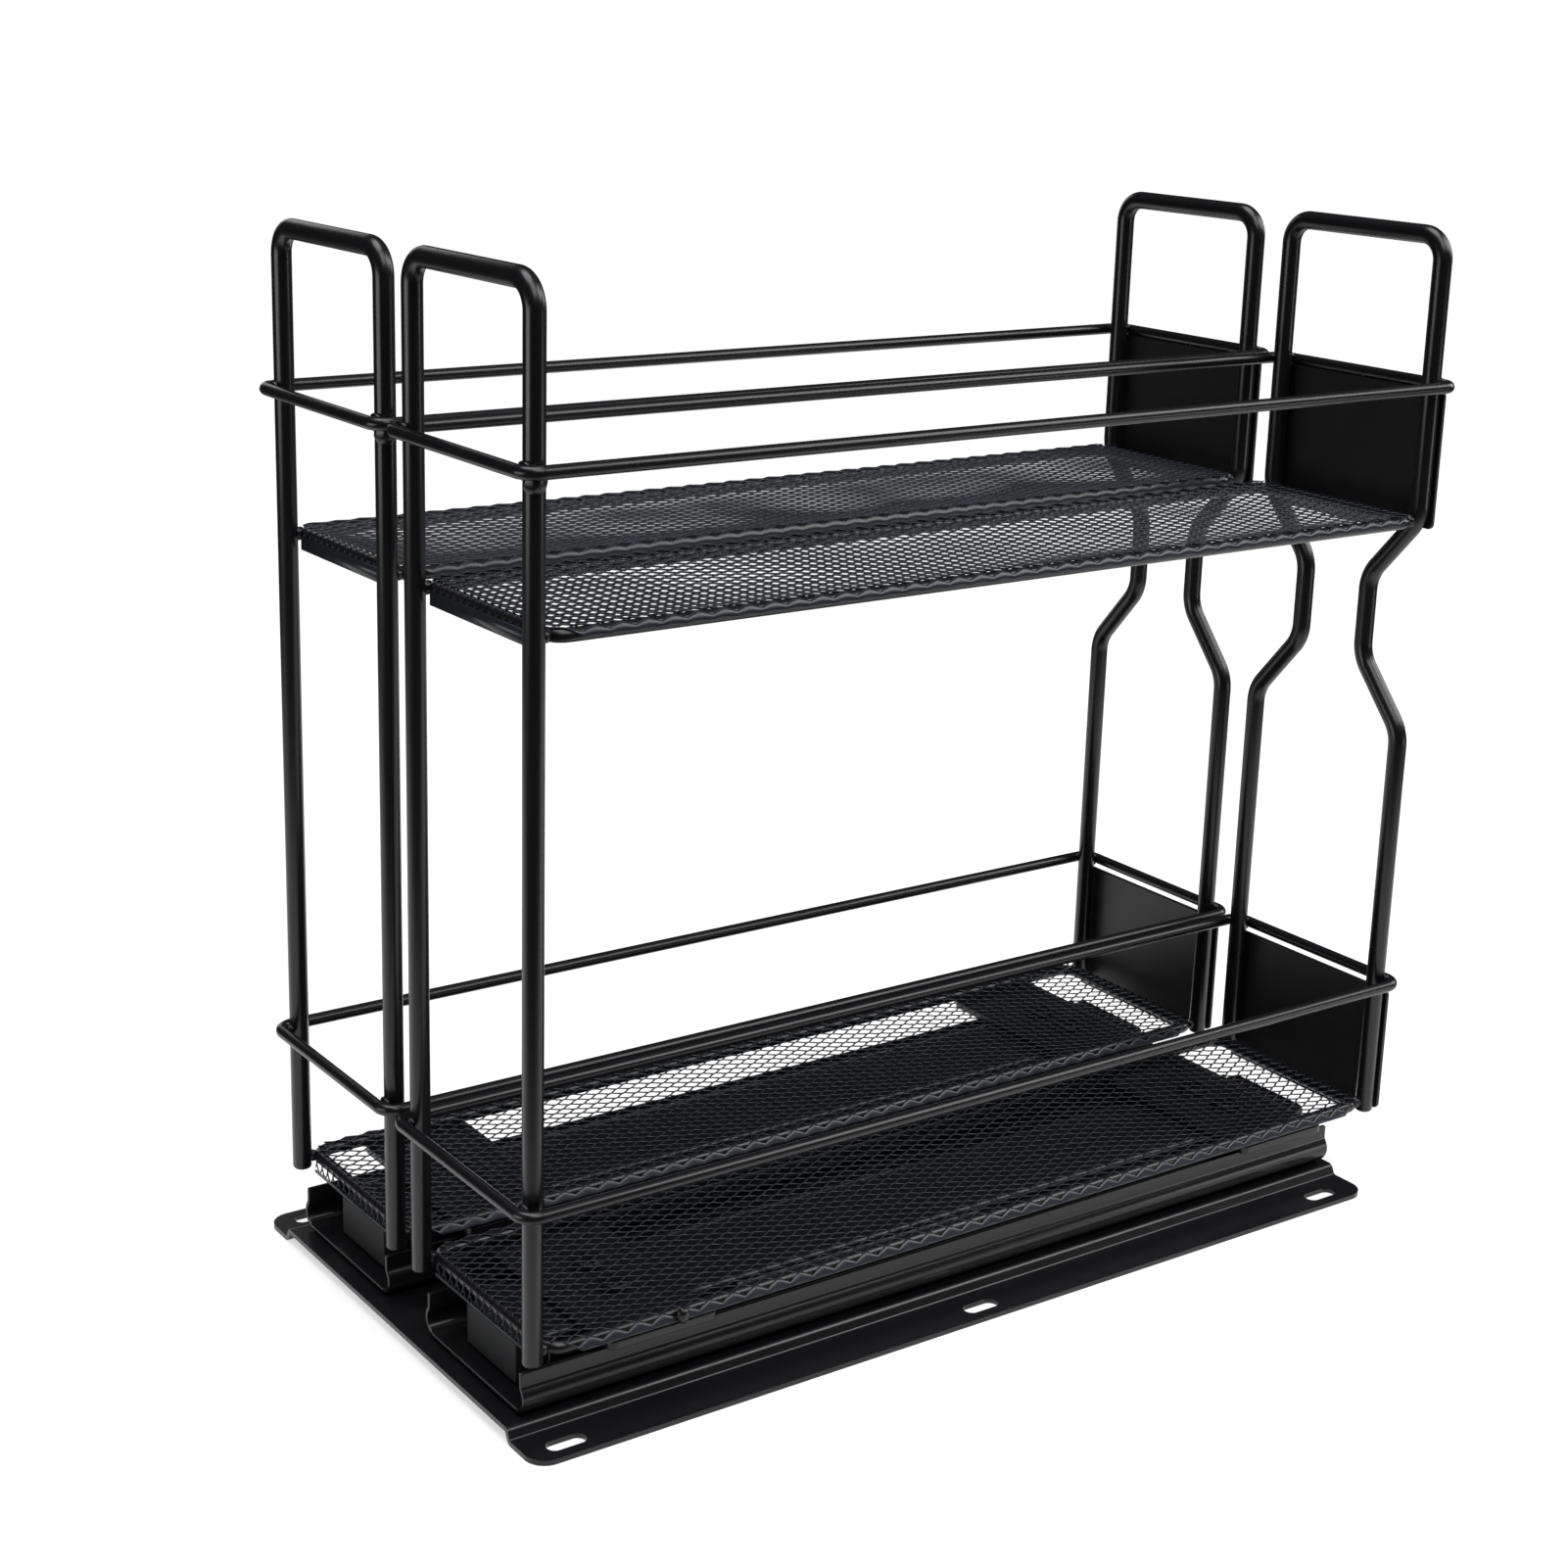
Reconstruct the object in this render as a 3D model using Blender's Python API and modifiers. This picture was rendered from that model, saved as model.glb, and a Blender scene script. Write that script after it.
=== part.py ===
"""Pull-out spice rack: two narrow wire racks on ball-bearing slides, side by side on one base plate.

Metres, +Z up, floor at Z = 0. +X is the front, the side to which the racks pull out.
The origin is on the floor, in the middle of the whole object.
"""
import math

import bmesh
import bpy
from mathutils import Matrix, Vector

# General clearance between pieces that touch, or are welded, on the real rack
GAP = 0.0003
# Points closer than this are one point
MERGE_DISTANCE = 0.00001

# Racks: sizes between the axes of the four upright legs
RACK_LENGTH = 0.2500
RACK_WIDTH = 0.0500
# Space between the guard rings of the two racks, which pass each other
RACK_SPACING = 0.0015

# Wires
LEG_ROD = 0.0046
RING_ROD = 0.0029
FRAME_ROD = 0.0030
LOOP_CORNER_RADIUS = 0.0060
RING_CORNER_RADIUS = 0.0040
FRAME_CORNER_RADIUS = 0.0040
FRAME_WELD_GAP = 0.0005

# Heights of the rack, from shelf frame to shelf frame and from a frame to what stands over it
SHELF_SPACING = 0.1545
GUARD_RISE = 0.0332
HANDLE_RISE = 0.0692
LEG_FOOT_DROP = 0.0027

# Bottle outline of the front legs, measured down from the upper shelf frame
NECK_INSET = 0.01415
NECK_TOP_DROP = 0.0164
NECK_LENGTH = 0.0210
SHOULDER_DROP = 0.0169
NECK_BEND_RADIUS = 0.0100

# Shelves: flat nets with diamond gaps
NET_THICKNESS = 0.0009
NET_BORDER = 0.0026
NET_STRAND = 0.0015
NET_GAPS_LONG = 10
NET_GAPS_ACROSS = 4

# Front panels
PANEL_SHEET = 0.0010
PANEL_SIDE_OVERLAP = 0.0020
PANEL_BOTTOM_DROP = 0.0024
PANEL_CORNER_RADIUS = 0.0015

# Base plate: a raised platform with a screw flange along each long side
BASE_REAR_OVERHANG = 0.0050
BASE_FRONT_SETBACK = 0.0079
BASE_SHEET = 0.0012
PLATFORM_EDGE = 0.0006
PLATFORM_HEIGHT = 0.0037
FLANGE_WIDTH = 0.0123
STEP_SLOPE = 0.0010
BASE_BEND_RADIUS = 0.0012
FLANGE_CORNER_RADIUS = 0.0050
SLOT_LENGTH = 0.0095
SLOT_WIDTH = 0.0040
SLOT_REAR_INSET = 0.0100
SLOT_FRONT_INSET = 0.0121
SLOT_COUNT = 3
SLOT_EDGE_DISTANCE = 0.0048
TRIM_MARGIN = 0.0100

# Slides: three members nested in each other, lying flat on the platform
SLIDE_REAR_INSET = 0.0043
SLIDE_FRONT_INSET = 0.0015
SLIDE_HEIGHT = 0.0126
OUTER_SHEET = 0.0012
MIDDLE_SHEET = 0.0010
INNER_SHEET = 0.0010
MEMBER_BEND_RADIUS = 0.0010
OUTER_LIP_HEIGHT = 0.0103
OUTER_ROW_OFFSET = 0.0190
OUTER_ROW_HEIGHT = 0.0054
OUTER_BALL = 0.0040
INNER_ROW_OFFSET = 0.0142
INNER_ROW_HEIGHT = 0.0092
INNER_BALL = 0.0032
OUTER_RACE_ANGLE = math.radians(60)
MIDDLE_RACE_ANGLE = math.radians(35)
MOVING_MEMBER_INSET = 0.0095

# Ball cages: thin folded strips, each with a row of balls snapped in on both sides
CAGE_SHEET = 0.0005
CAGE_LENGTH = 0.0700
CAGE_REAR_INSET = 0.0600
CAGE_RIM = 0.0010
CAGE_CHAMFER = 0.0010
BALLS_PER_ROW = 4
BALL_PITCH = 0.0175

# Stop block behind the moving members, fixed in the outer member
STOP_LENGTH = 0.0045
STOP_WIDTH = 0.0220
STOP_REAR_INSET = 0.0045
STOP_TOP_DROP = 0.0012
STOP_EDGE = 0.0006

# Straps between the inner member and the lower basket
STRAP_LENGTH = 0.0280
STRAP_THICKNESS = 0.0020
STRAP_END_DISTANCE = 0.0280
STRAP_CORNER_RADIUS = 0.0020

# Rivets
STRAP_RIVET_SHANK = 0.0038
STRAP_RIVET_HEAD = 0.0072
STRAP_RIVET_HEAD_HEIGHT = 0.0015
STRAP_RIVET_TAIL = 0.0058
STRAP_RIVET_TAIL_HEIGHT = 0.0012
STRAP_RIVET_SPACING = 0.0120
STRAP_RIVET_CROWN = 0.62
RAIL_RIVET_SHANK = 0.0040
RAIL_RIVET_HEAD = 0.0068
RAIL_RIVET_TAIL = 0.0062
RAIL_RIVET_TAIL_HEIGHT = 0.0011
RAIL_RIVET_COUNT = 3
RAIL_RIVET_END_INSET = 0.0250

# Fineness of round shapes
ROD_SIDES_RESOLUTION = 3
THIN_ROD_RESOLUTION = 2
CORNER_STEPS = 4
BEND_STEPS = 3
ROUND_STEPS = 12
BALL_SEGMENTS = 8
# Bends turn by less than this at each step, so they are shaded round
EDGE_ANGLE = math.radians(40)

# Places that follow from the sizes above
REAR_LEG_X = -RACK_LENGTH / 2
FRONT_LEG_X = RACK_LENGTH / 2
RING_OFFSET = LEG_ROD / 2 + GAP + RING_ROD / 2
RACK_PITCH = RACK_WIDTH + 2 * RING_OFFSET + RING_ROD + RACK_SPACING
RACK_CENTRES = {"near": -RACK_PITCH / 2, "far": RACK_PITCH / 2}
SLIDE_WIDTH = 2 * OUTER_ROW_OFFSET + OUTER_BALL + 2 * GAP + 2 * OUTER_SHEET
PLATFORM_WIDTH = RACK_PITCH + SLIDE_WIDTH + 2 * PLATFORM_EDGE
BASE_WIDTH = PLATFORM_WIDTH + 2 * FLANGE_WIDTH
BASE_REAR_X = REAR_LEG_X - BASE_REAR_OVERHANG
BASE_FRONT_X = FRONT_LEG_X - BASE_FRONT_SETBACK
SLOT_PITCH = (BASE_FRONT_X - BASE_REAR_X - SLOT_REAR_INSET - SLOT_FRONT_INSET) / (SLOT_COUNT - 1)
SLIDE_REAR_X = BASE_REAR_X + SLIDE_REAR_INSET
SLIDE_FRONT_X = BASE_FRONT_X - SLIDE_FRONT_INSET
MOVING_REAR_X = SLIDE_REAR_X + MOVING_MEMBER_INSET
RAIL_RIVET_PITCH = (SLIDE_FRONT_X - SLIDE_REAR_X - 2 * RAIL_RIVET_END_INSET) / (RAIL_RIVET_COUNT - 1)
SLIDE_BOTTOM_Z = PLATFORM_HEIGHT + GAP
SLIDE_TOP_Z = SLIDE_BOTTOM_Z + SLIDE_HEIGHT
STRAP_BOTTOM_Z = SLIDE_TOP_Z + GAP
STRAP_TOP_Z = STRAP_BOTTOM_Z + STRAP_THICKNESS
LOWER_FRAME_Z = STRAP_TOP_Z + GAP + FRAME_ROD / 2
UPPER_FRAME_Z = LOWER_FRAME_Z + SHELF_SPACING
HANDLE_Z = UPPER_FRAME_Z + HANDLE_RISE
LEG_FOOT_Z = LOWER_FRAME_Z - LEG_FOOT_DROP
# A frame's sides are flush with the outside of the legs, and its corners curve round the legs' inner side
FRAME_SIDE_OFFSET = LEG_ROD / 2 - FRAME_ROD / 2
FRAME_HALF_WIDTH = RACK_WIDTH / 2 + FRAME_SIDE_OFFSET
FRAME_CORNER_REACH = FRAME_CORNER_RADIUS + FRAME_ROD / 2 + FRAME_WELD_GAP + LEG_ROD / 2
FRAME_END_INSET = (
    math.sqrt(FRAME_CORNER_REACH ** 2 - (FRAME_CORNER_RADIUS - FRAME_SIDE_OFFSET) ** 2) - FRAME_CORNER_RADIUS
)
FRAME_REAR_X = REAR_LEG_X + FRAME_END_INSET
FRAME_FRONT_X = FRONT_LEG_X - FRAME_END_INSET
MIDDLE_WEB_HEIGHT = OUTER_SHEET + GAP + CAGE_SHEET + GAP + MIDDLE_SHEET / 2
INNER_CAGE_WEB_HEIGHT = MIDDLE_WEB_HEIGHT + MIDDLE_SHEET / 2 + GAP + CAGE_SHEET / 2
INNER_WALL_HEIGHT = INNER_CAGE_WEB_HEIGHT + CAGE_SHEET / 2 + GAP
STRAP_CENTRES_X = (FRAME_REAR_X + STRAP_END_DISTANCE, FRAME_FRONT_X - STRAP_END_DISTANCE)


def start_scene():
    """Empties the scene and makes one collection for the parts and one for the cutters."""
    for old in list(bpy.data.objects):
        bpy.data.objects.remove(old, do_unlink=True)
    parts = bpy.data.collections.new("pull_out_spice_rack")
    cutters = bpy.data.collections.new("cutters")
    bpy.context.scene.collection.children.link(parts)
    bpy.context.scene.collection.children.link(cutters)
    return parts, cutters


def make_material(name, colour, roughness, metallic):
    """One Principled BSDF with the part's colour, roughness and metallic value."""
    material = bpy.data.materials.new(name)
    material.use_nodes = True
    shader = material.node_tree.nodes["Principled BSDF"]
    shader.inputs["Base Color"].default_value = (*colour, 1)
    shader.inputs["Roughness"].default_value = roughness
    shader.inputs["Metallic"].default_value = metallic
    material.diffuse_color = (*colour, 1)
    return material


def keep(obj, name, material, parent, collection):
    """Names a finished piece and puts it in its collection, under the empty that moves it."""
    obj.name = name
    obj.data.name = name
    obj.data.materials.clear()
    obj.data.materials.append(material)
    for other in list(obj.users_collection):
        other.objects.unlink(obj)
    collection.objects.link(obj)
    if parent is not None:
        obj.parent = parent
        obj.matrix_parent_inverse = Matrix.Translation(parent.location).inverted()
    return obj


def keep_cutter(obj, name, cutters):
    """Names a cutting shape and hides it from renders."""
    obj.name = name
    for other in list(obj.users_collection):
        other.objects.unlink(obj)
    cutters.objects.link(obj)
    obj.hide_render = True
    obj.display_type = "WIRE"
    return obj


def rounded_path(corners, radius, steps, closed):
    """Points of a wire through the corners, with an arc of the given radius at each bend."""
    count = len(corners)
    points = []
    for index, corner in enumerate(corners):
        at_end = index in (0, count - 1)
        if at_end and not closed:
            points.append(corner)
            continue
        before = (corners[index - 1] - corner).normalized()
        after = (corners[(index + 1) % count] - corner).normalized()
        half_angle = before.angle(after) / 2
        tangent = radius / math.tan(half_angle)
        centre = corner + (before + after).normalized() * (radius / math.sin(half_angle))
        start = corner + before * tangent - centre
        end = corner + after * tangent - centre
        turn = math.pi - 2 * half_angle
        for step in range(steps + 1):
            share = step / steps
            along = math.sin((1 - share) * turn) * start + math.sin(share * turn) * end
            points.append(centre + along / math.sin(turn))
    return points


def wire(points, diameter, resolution, closed):
    """A round rod along the points: a poly curve with a bevel and filled ends."""
    curve = bpy.data.curves.new("wire", "CURVE")
    curve.dimensions = "3D"
    curve.bevel_depth = diameter / 2
    curve.bevel_resolution = resolution
    curve.use_fill_caps = True
    spline = curve.splines.new("POLY")
    spline.points.add(len(points) - 1)
    for place, point in zip(spline.points, points):
        place.co = (*point, 1)
    spline.use_cyclic_u = closed
    spline.use_smooth = True
    obj = bpy.data.objects.new("wire", curve)
    bpy.context.scene.collection.objects.link(obj)
    return obj


def add_outline(curve, points):
    """Adds one closed outline, or a hole in it, to a flat curve."""
    spline = curve.splines.new("POLY")
    spline.points.add(len(points) - 1)
    for place, point in zip(spline.points, points):
        place.co = (point[0], point[1], 0, 1)
    spline.use_cyclic_u = True


def flat_shape(outlines, thickness):
    """A flat outline with its holes, filled on both sides, as thick as stated."""
    curve = bpy.data.curves.new("flat_shape", "CURVE")
    curve.dimensions = "2D"
    curve.fill_mode = "BOTH"
    curve.extrude = thickness / 2
    for outline in outlines:
        add_outline(curve, outline)
    obj = bpy.data.objects.new("flat_shape", curve)
    bpy.context.scene.collection.objects.link(obj)
    weld = obj.modifiers.new("weld", "WELD")
    weld.merge_threshold = MERGE_DISTANCE
    return obj


def rounded_rectangle(low_x, high_x, low_y, high_y, radius, steps):
    """Points round a rectangle with rounded corners."""
    corners = [
        Vector((low_x, low_y, 0)),
        Vector((high_x, low_y, 0)),
        Vector((high_x, high_y, 0)),
        Vector((low_x, high_y, 0)),
    ]
    return rounded_path(corners, radius, steps, True)


def circle(centre_x, centre_y, radius, sides):
    """Points round a circle."""
    return [
        Vector((
            centre_x + radius * math.cos(2 * math.pi * side / sides),
            centre_y + radius * math.sin(2 * math.pi * side / sides),
            0,
        ))
        for side in range(sides)
    ]


def turn_to_mesh(obj):
    """Replaces a curve object by a mesh object of the same shape, with its caps welded on."""
    bpy.context.view_layer.update()
    evaluated = obj.evaluated_get(bpy.context.evaluated_depsgraph_get())
    mesh = bpy.data.meshes.new_from_object(evaluated)
    cleaner = bmesh.new()
    cleaner.from_mesh(mesh)
    bmesh.ops.remove_doubles(cleaner, verts=cleaner.verts, dist=MERGE_DISTANCE)
    cleaner.to_mesh(mesh)
    cleaner.free()
    solid = bpy.data.objects.new(obj.name, mesh)
    solid.matrix_world = obj.matrix_world.copy()
    bpy.context.scene.collection.objects.link(solid)
    bpy.data.objects.remove(obj, do_unlink=True)
    return solid


def folded_sheet(profile, rear_x, front_x, thickness):
    """A sheet folded to a profile of (y, z) points, which runs from rear_x to front_x."""
    mesh = bpy.data.meshes.new("folded_sheet")
    builder = bmesh.new()
    row = [builder.verts.new((rear_x, y, z)) for y, z in profile]
    edges = [builder.edges.new(pair) for pair in zip(row, row[1:])]
    swept = bmesh.ops.extrude_edge_only(builder, edges=edges)
    moved = [item for item in swept["geom"] if isinstance(item, bmesh.types.BMVert)]
    bmesh.ops.translate(builder, verts=moved, vec=(front_x - rear_x, 0, 0))
    bmesh.ops.recalc_face_normals(builder, faces=builder.faces)
    for face in builder.faces:
        face.smooth = True
    for edge in builder.edges:
        edge.smooth = edge.is_manifold and edge.calc_face_angle() < EDGE_ANGLE
    builder.to_mesh(mesh)
    builder.free()
    obj = bpy.data.objects.new("folded_sheet", mesh)
    bpy.context.scene.collection.objects.link(obj)
    shell = obj.modifiers.new("sheet thickness", "SOLIDIFY")
    shell.thickness = thickness
    shell.offset = 0
    shell.use_even_offset = True
    shell.use_quality_normals = True
    return obj


def turned_piece(profile, location, steps):
    """A turned piece: a profile of (radius, z) points, top to bottom, swept about the local Z axis."""
    mesh = bpy.data.meshes.new("turned_piece")
    points = [(radius, 0, z) for radius, z in profile]
    mesh.from_pydata(points, [(i, i + 1) for i in range(len(points) - 1)], [])
    obj = bpy.data.objects.new("turned_piece", mesh)
    obj.location = location
    bpy.context.scene.collection.objects.link(obj)
    screw = obj.modifiers.new("turn", "SCREW")
    screw.steps = steps
    screw.render_steps = steps
    screw.use_merge_vertices = True
    screw.merge_threshold = MERGE_DISTANCE
    screw.use_smooth_shade = True
    return obj


def repeat(obj, count, offset):
    """Repeats the shape in a row, each copy a separate solid."""
    array = obj.modifiers.new("row", "ARRAY")
    array.count = count
    array.use_relative_offset = False
    array.use_constant_offset = True
    array.constant_offset_displace = offset
    return obj


def cut(obj, cutter):
    """Takes the cutter's shape out of the piece."""
    boolean = obj.modifiers.new("cut", "BOOLEAN")
    boolean.operation = "DIFFERENCE"
    boolean.solver = "EXACT"
    boolean.object = cutter
    return obj


def cylinder_cutter(name, cutters, radius, length, location):
    """An upright round cutter."""
    bpy.ops.mesh.primitive_cylinder_add(vertices=ROUND_STEPS, radius=radius, depth=length, location=location)
    return keep_cutter(bpy.context.object, name, cutters)


def both_sides(half):
    """A full profile from its half at positive y, which starts on the middle line."""
    return [(-y, z) for y, z in reversed(half[1:])] + half


def arc(centre_y, centre_z, radius, start, end, steps):
    """Profile points along an arc, angles in radians from the +Y side."""
    return [
        (
            centre_y + radius * math.cos(start + (end - start) * step / steps),
            centre_z + radius * math.sin(start + (end - start) * step / steps),
        )
        for step in range(steps + 1)
    ]


def placed(profile, centre_y):
    """Moves a slide profile from its own frame to its rack, on the platform."""
    return [(y + centre_y, z + SLIDE_BOTTOM_Z) for y, z in profile]


def make_base_plate(parts, cutters, steel):
    """The folded base: trimmed to its outline, with slots in the flanges and holes for the rail rivets."""
    low = BASE_SHEET / 2
    high = PLATFORM_HEIGHT - BASE_SHEET / 2
    outer_y = BASE_WIDTH / 2 + TRIM_MARGIN
    step_y = PLATFORM_WIDTH / 2 - BASE_SHEET / 2
    section = [
        Vector((-outer_y, low, 0)),
        Vector((-step_y - STEP_SLOPE, low, 0)),
        Vector((-step_y, high, 0)),
        Vector((step_y, high, 0)),
        Vector((step_y + STEP_SLOPE, low, 0)),
        Vector((outer_y, low, 0)),
    ]
    profile = [(p.x, p.y) for p in rounded_path(section, BASE_BEND_RADIUS, BEND_STEPS, False)]
    base = folded_sheet(profile, BASE_REAR_X - TRIM_MARGIN, BASE_FRONT_X + TRIM_MARGIN, BASE_SHEET)
    outline = rounded_rectangle(
        BASE_REAR_X, BASE_FRONT_X, -BASE_WIDTH / 2, BASE_WIDTH / 2, FLANGE_CORNER_RADIUS, CORNER_STEPS
    )
    trim = turn_to_mesh(flat_shape([outline], 4 * PLATFORM_HEIGHT))
    keep_cutter(trim, "base_outline", cutters)
    trimming = base.modifiers.new("outline", "BOOLEAN")
    trimming.operation = "INTERSECT"
    trimming.solver = "EXACT"
    trimming.object = trim
    slot_outlines = []
    for side in (-1, 1):
        centre_y = side * (BASE_WIDTH / 2 - SLOT_EDGE_DISTANCE)
        for number in range(SLOT_COUNT):
            centre_x = BASE_REAR_X + SLOT_REAR_INSET + number * SLOT_PITCH
            slot_outlines.append(rounded_rectangle(
                centre_x - SLOT_LENGTH / 2, centre_x + SLOT_LENGTH / 2,
                centre_y - SLOT_WIDTH / 2, centre_y + SLOT_WIDTH / 2,
                SLOT_WIDTH / 2 - MERGE_DISTANCE * 2, CORNER_STEPS,
            ))
    slots = turn_to_mesh(flat_shape(slot_outlines, 4 * BASE_SHEET))
    keep_cutter(slots, "flange_slots", cutters)
    cut(base, slots)
    for rack, centre_y in RACK_CENTRES.items():
        holes = cylinder_cutter(
            rack + "_rail_holes", cutters, RAIL_RIVET_SHANK / 2 + GAP, 4 * BASE_SHEET,
            rail_rivet_places(centre_y)[0],
        )
        repeat(holes, RAIL_RIVET_COUNT, (RAIL_RIVET_PITCH, 0, 0))
        cut(base, holes)
    keep(base, "base_plate", steel, None, parts)


def rail_rivet_profile():
    """Countersunk rivet, flush with the web of the outer member; z = 0 at the underside of the slide."""
    head = RAIL_RIVET_HEAD / 2
    shank = RAIL_RIVET_SHANK / 2
    tail = RAIL_RIVET_TAIL / 2
    tail_top = -GAP - BASE_SHEET - GAP
    tail_bottom = tail_top - RAIL_RIVET_TAIL_HEIGHT
    return [
        (0, OUTER_SHEET),
        (head, OUTER_SHEET),
        (shank, 0),
        (shank, tail_top),
        (tail, tail_top),
        (tail, tail_bottom),
        (0, tail_bottom),
    ]


def rail_rivet_seat_profile():
    """The countersunk hole for that rivet, wider all round by the general clearance."""
    head = RAIL_RIVET_HEAD / 2
    shank = RAIL_RIVET_SHANK / 2
    flare = (head - shank) / OUTER_SHEET * GAP
    return [
        (0, OUTER_SHEET + GAP),
        (head + GAP + flare, OUTER_SHEET + GAP),
        (shank + GAP, 0),
        (shank + GAP, -GAP),
        (0, -GAP),
    ]


def rail_rivet_places(centre_y):
    """Where the rivets of one rail stand."""
    first_x = SLIDE_REAR_X + RAIL_RIVET_END_INSET
    return [(first_x + number * RAIL_RIVET_PITCH, centre_y, SLIDE_BOTTOM_Z) for number in range(RAIL_RIVET_COUNT)]


def make_rail_rivets(rack, centre_y, parts, steel):
    """The countersunk rivets that hold one rail on the platform."""
    for number, place in enumerate(rail_rivet_places(centre_y), start=1):
        rivet = turned_piece(rail_rivet_profile(), place, ROUND_STEPS)
        keep(rivet, rack + "_rail_rivet_" + str(number), steel, None, parts)


def make_outer_member(rack, centre_y, parts, cutters, steel):
    """The wide channel on the platform; each wall bulges round a row of balls."""
    race = OUTER_BALL / 2 + GAP + OUTER_SHEET / 2
    wall_y = OUTER_ROW_OFFSET + race * math.cos(OUTER_RACE_ANGLE)
    web = OUTER_SHEET / 2
    bend_y = wall_y - MEMBER_BEND_RADIUS
    half = [(0, web)]
    half += arc(bend_y, web + MEMBER_BEND_RADIUS, MEMBER_BEND_RADIUS, -math.pi / 2, 0, BEND_STEPS)
    half += arc(OUTER_ROW_OFFSET, OUTER_ROW_HEIGHT, race, -OUTER_RACE_ANGLE, OUTER_RACE_ANGLE, 2 * BEND_STEPS)
    half.append((wall_y, OUTER_LIP_HEIGHT))
    member = folded_sheet(placed(both_sides(half), centre_y), SLIDE_REAR_X, SLIDE_FRONT_X, OUTER_SHEET)
    seats = turned_piece(rail_rivet_seat_profile(), rail_rivet_places(centre_y)[0], ROUND_STEPS)
    keep_cutter(seats, rack + "_rivet_seats", cutters)
    repeat(seats, RAIL_RIVET_COUNT, (RAIL_RIVET_PITCH, 0, 0))
    cut(member, seats)
    keep(member, rack + "_outer_member", steel, None, parts)


def make_middle_member(rack, centre_y, parts, parent, steel):
    """The intermediate channel, with a race outside for the outer balls and one inside for the inner balls."""
    outer_race = OUTER_BALL / 2 + GAP + MIDDLE_SHEET / 2
    inner_race = INNER_BALL / 2 + GAP + MIDDLE_SHEET / 2
    wall_y = OUTER_ROW_OFFSET - outer_race * math.cos(MIDDLE_RACE_ANGLE)
    bend_y = wall_y - MEMBER_BEND_RADIUS
    half = [(0, MIDDLE_WEB_HEIGHT)]
    half += arc(
        bend_y, MIDDLE_WEB_HEIGHT + MEMBER_BEND_RADIUS, MEMBER_BEND_RADIUS, -math.pi / 2, 0, BEND_STEPS
    )[:-1]
    half += arc(
        OUTER_ROW_OFFSET, OUTER_ROW_HEIGHT, outer_race,
        math.pi + MIDDLE_RACE_ANGLE, math.pi - MIDDLE_RACE_ANGLE, BEND_STEPS,
    )
    half += arc(
        INNER_ROW_OFFSET, INNER_ROW_HEIGHT, inner_race, -MIDDLE_RACE_ANGLE, MIDDLE_RACE_ANGLE, BEND_STEPS
    )
    member = folded_sheet(placed(both_sides(half), centre_y), MOVING_REAR_X, SLIDE_FRONT_X, MIDDLE_SHEET)
    keep(member, rack + "_middle_member", steel, parent, parts)


def make_inner_member(rack, centre_y, parts, cutters, parent, steel):
    """The inner channel, upside down, which carries the rack on its web."""
    race = INNER_BALL / 2 + GAP + INNER_SHEET / 2
    wall_y = INNER_ROW_OFFSET - race * math.cos(MIDDLE_RACE_ANGLE)
    web = SLIDE_HEIGHT - INNER_SHEET / 2
    bend_y = wall_y - MEMBER_BEND_RADIUS
    half = [(0, web)]
    half += arc(bend_y, web - MEMBER_BEND_RADIUS, MEMBER_BEND_RADIUS, math.pi / 2, 0, BEND_STEPS)
    half += arc(
        INNER_ROW_OFFSET, INNER_ROW_HEIGHT, race,
        math.pi - MIDDLE_RACE_ANGLE, math.pi + MIDDLE_RACE_ANGLE, BEND_STEPS,
    )
    half.append((wall_y, INNER_WALL_HEIGHT))
    member = folded_sheet(placed(both_sides(half), centre_y), MOVING_REAR_X, SLIDE_FRONT_X, INNER_SHEET)
    for number, centre_x in enumerate(STRAP_CENTRES_X):
        place = (centre_x, centre_y - STRAP_RIVET_SPACING / 2, SLIDE_TOP_Z)
        name = rack + "_strap_holes_" + str(number)
        holes = cylinder_cutter(name, cutters, STRAP_RIVET_SHANK / 2 + GAP, 4 * INNER_SHEET, place)
        repeat(holes, 2, (0, STRAP_RIVET_SPACING, 0))
        cut(member, holes)
    keep(member, rack + "_inner_member", steel, parent, parts)


def make_ball_cage(name, centre_y, row, parts, cutters, parent, steel):
    """A cage folded to a U: a web between two members and, on each side, a strip that holds a row of balls."""
    top = row["height"] + row["ball"] / 2 + CAGE_RIM
    half = [
        (0, row["web"]),
        (row["offset"] - CAGE_CHAMFER, row["web"]),
        (row["offset"], row["web"] + CAGE_CHAMFER),
        (row["offset"], top),
    ]
    rear_x = SLIDE_REAR_X + CAGE_REAR_INSET
    cage = folded_sheet(placed(both_sides(half), centre_y), rear_x, rear_x + CAGE_LENGTH, CAGE_SHEET)
    first_x = rear_x + (CAGE_LENGTH - (BALLS_PER_ROW - 1) * BALL_PITCH) / 2
    bpy.ops.mesh.primitive_uv_sphere_add(
        segments=BALL_SEGMENTS, ring_count=BALL_SEGMENTS // 2, radius=row["ball"] / 2
    )
    balls = bpy.context.object
    balls.location = (first_x, centre_y - row["offset"], SLIDE_BOTTOM_Z + row["height"])
    repeat(balls, BALLS_PER_ROW, (BALL_PITCH, 0, 0))
    repeat(balls, 2, (0, 2 * row["offset"], 0))
    keep_cutter(balls, name + "_balls", cutters)
    snap_in = cage.modifiers.new("balls snapped in", "BOOLEAN")
    snap_in.operation = "UNION"
    snap_in.solver = "EXACT"
    snap_in.object = balls
    keep(cage, name, steel, parent, parts)


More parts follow.
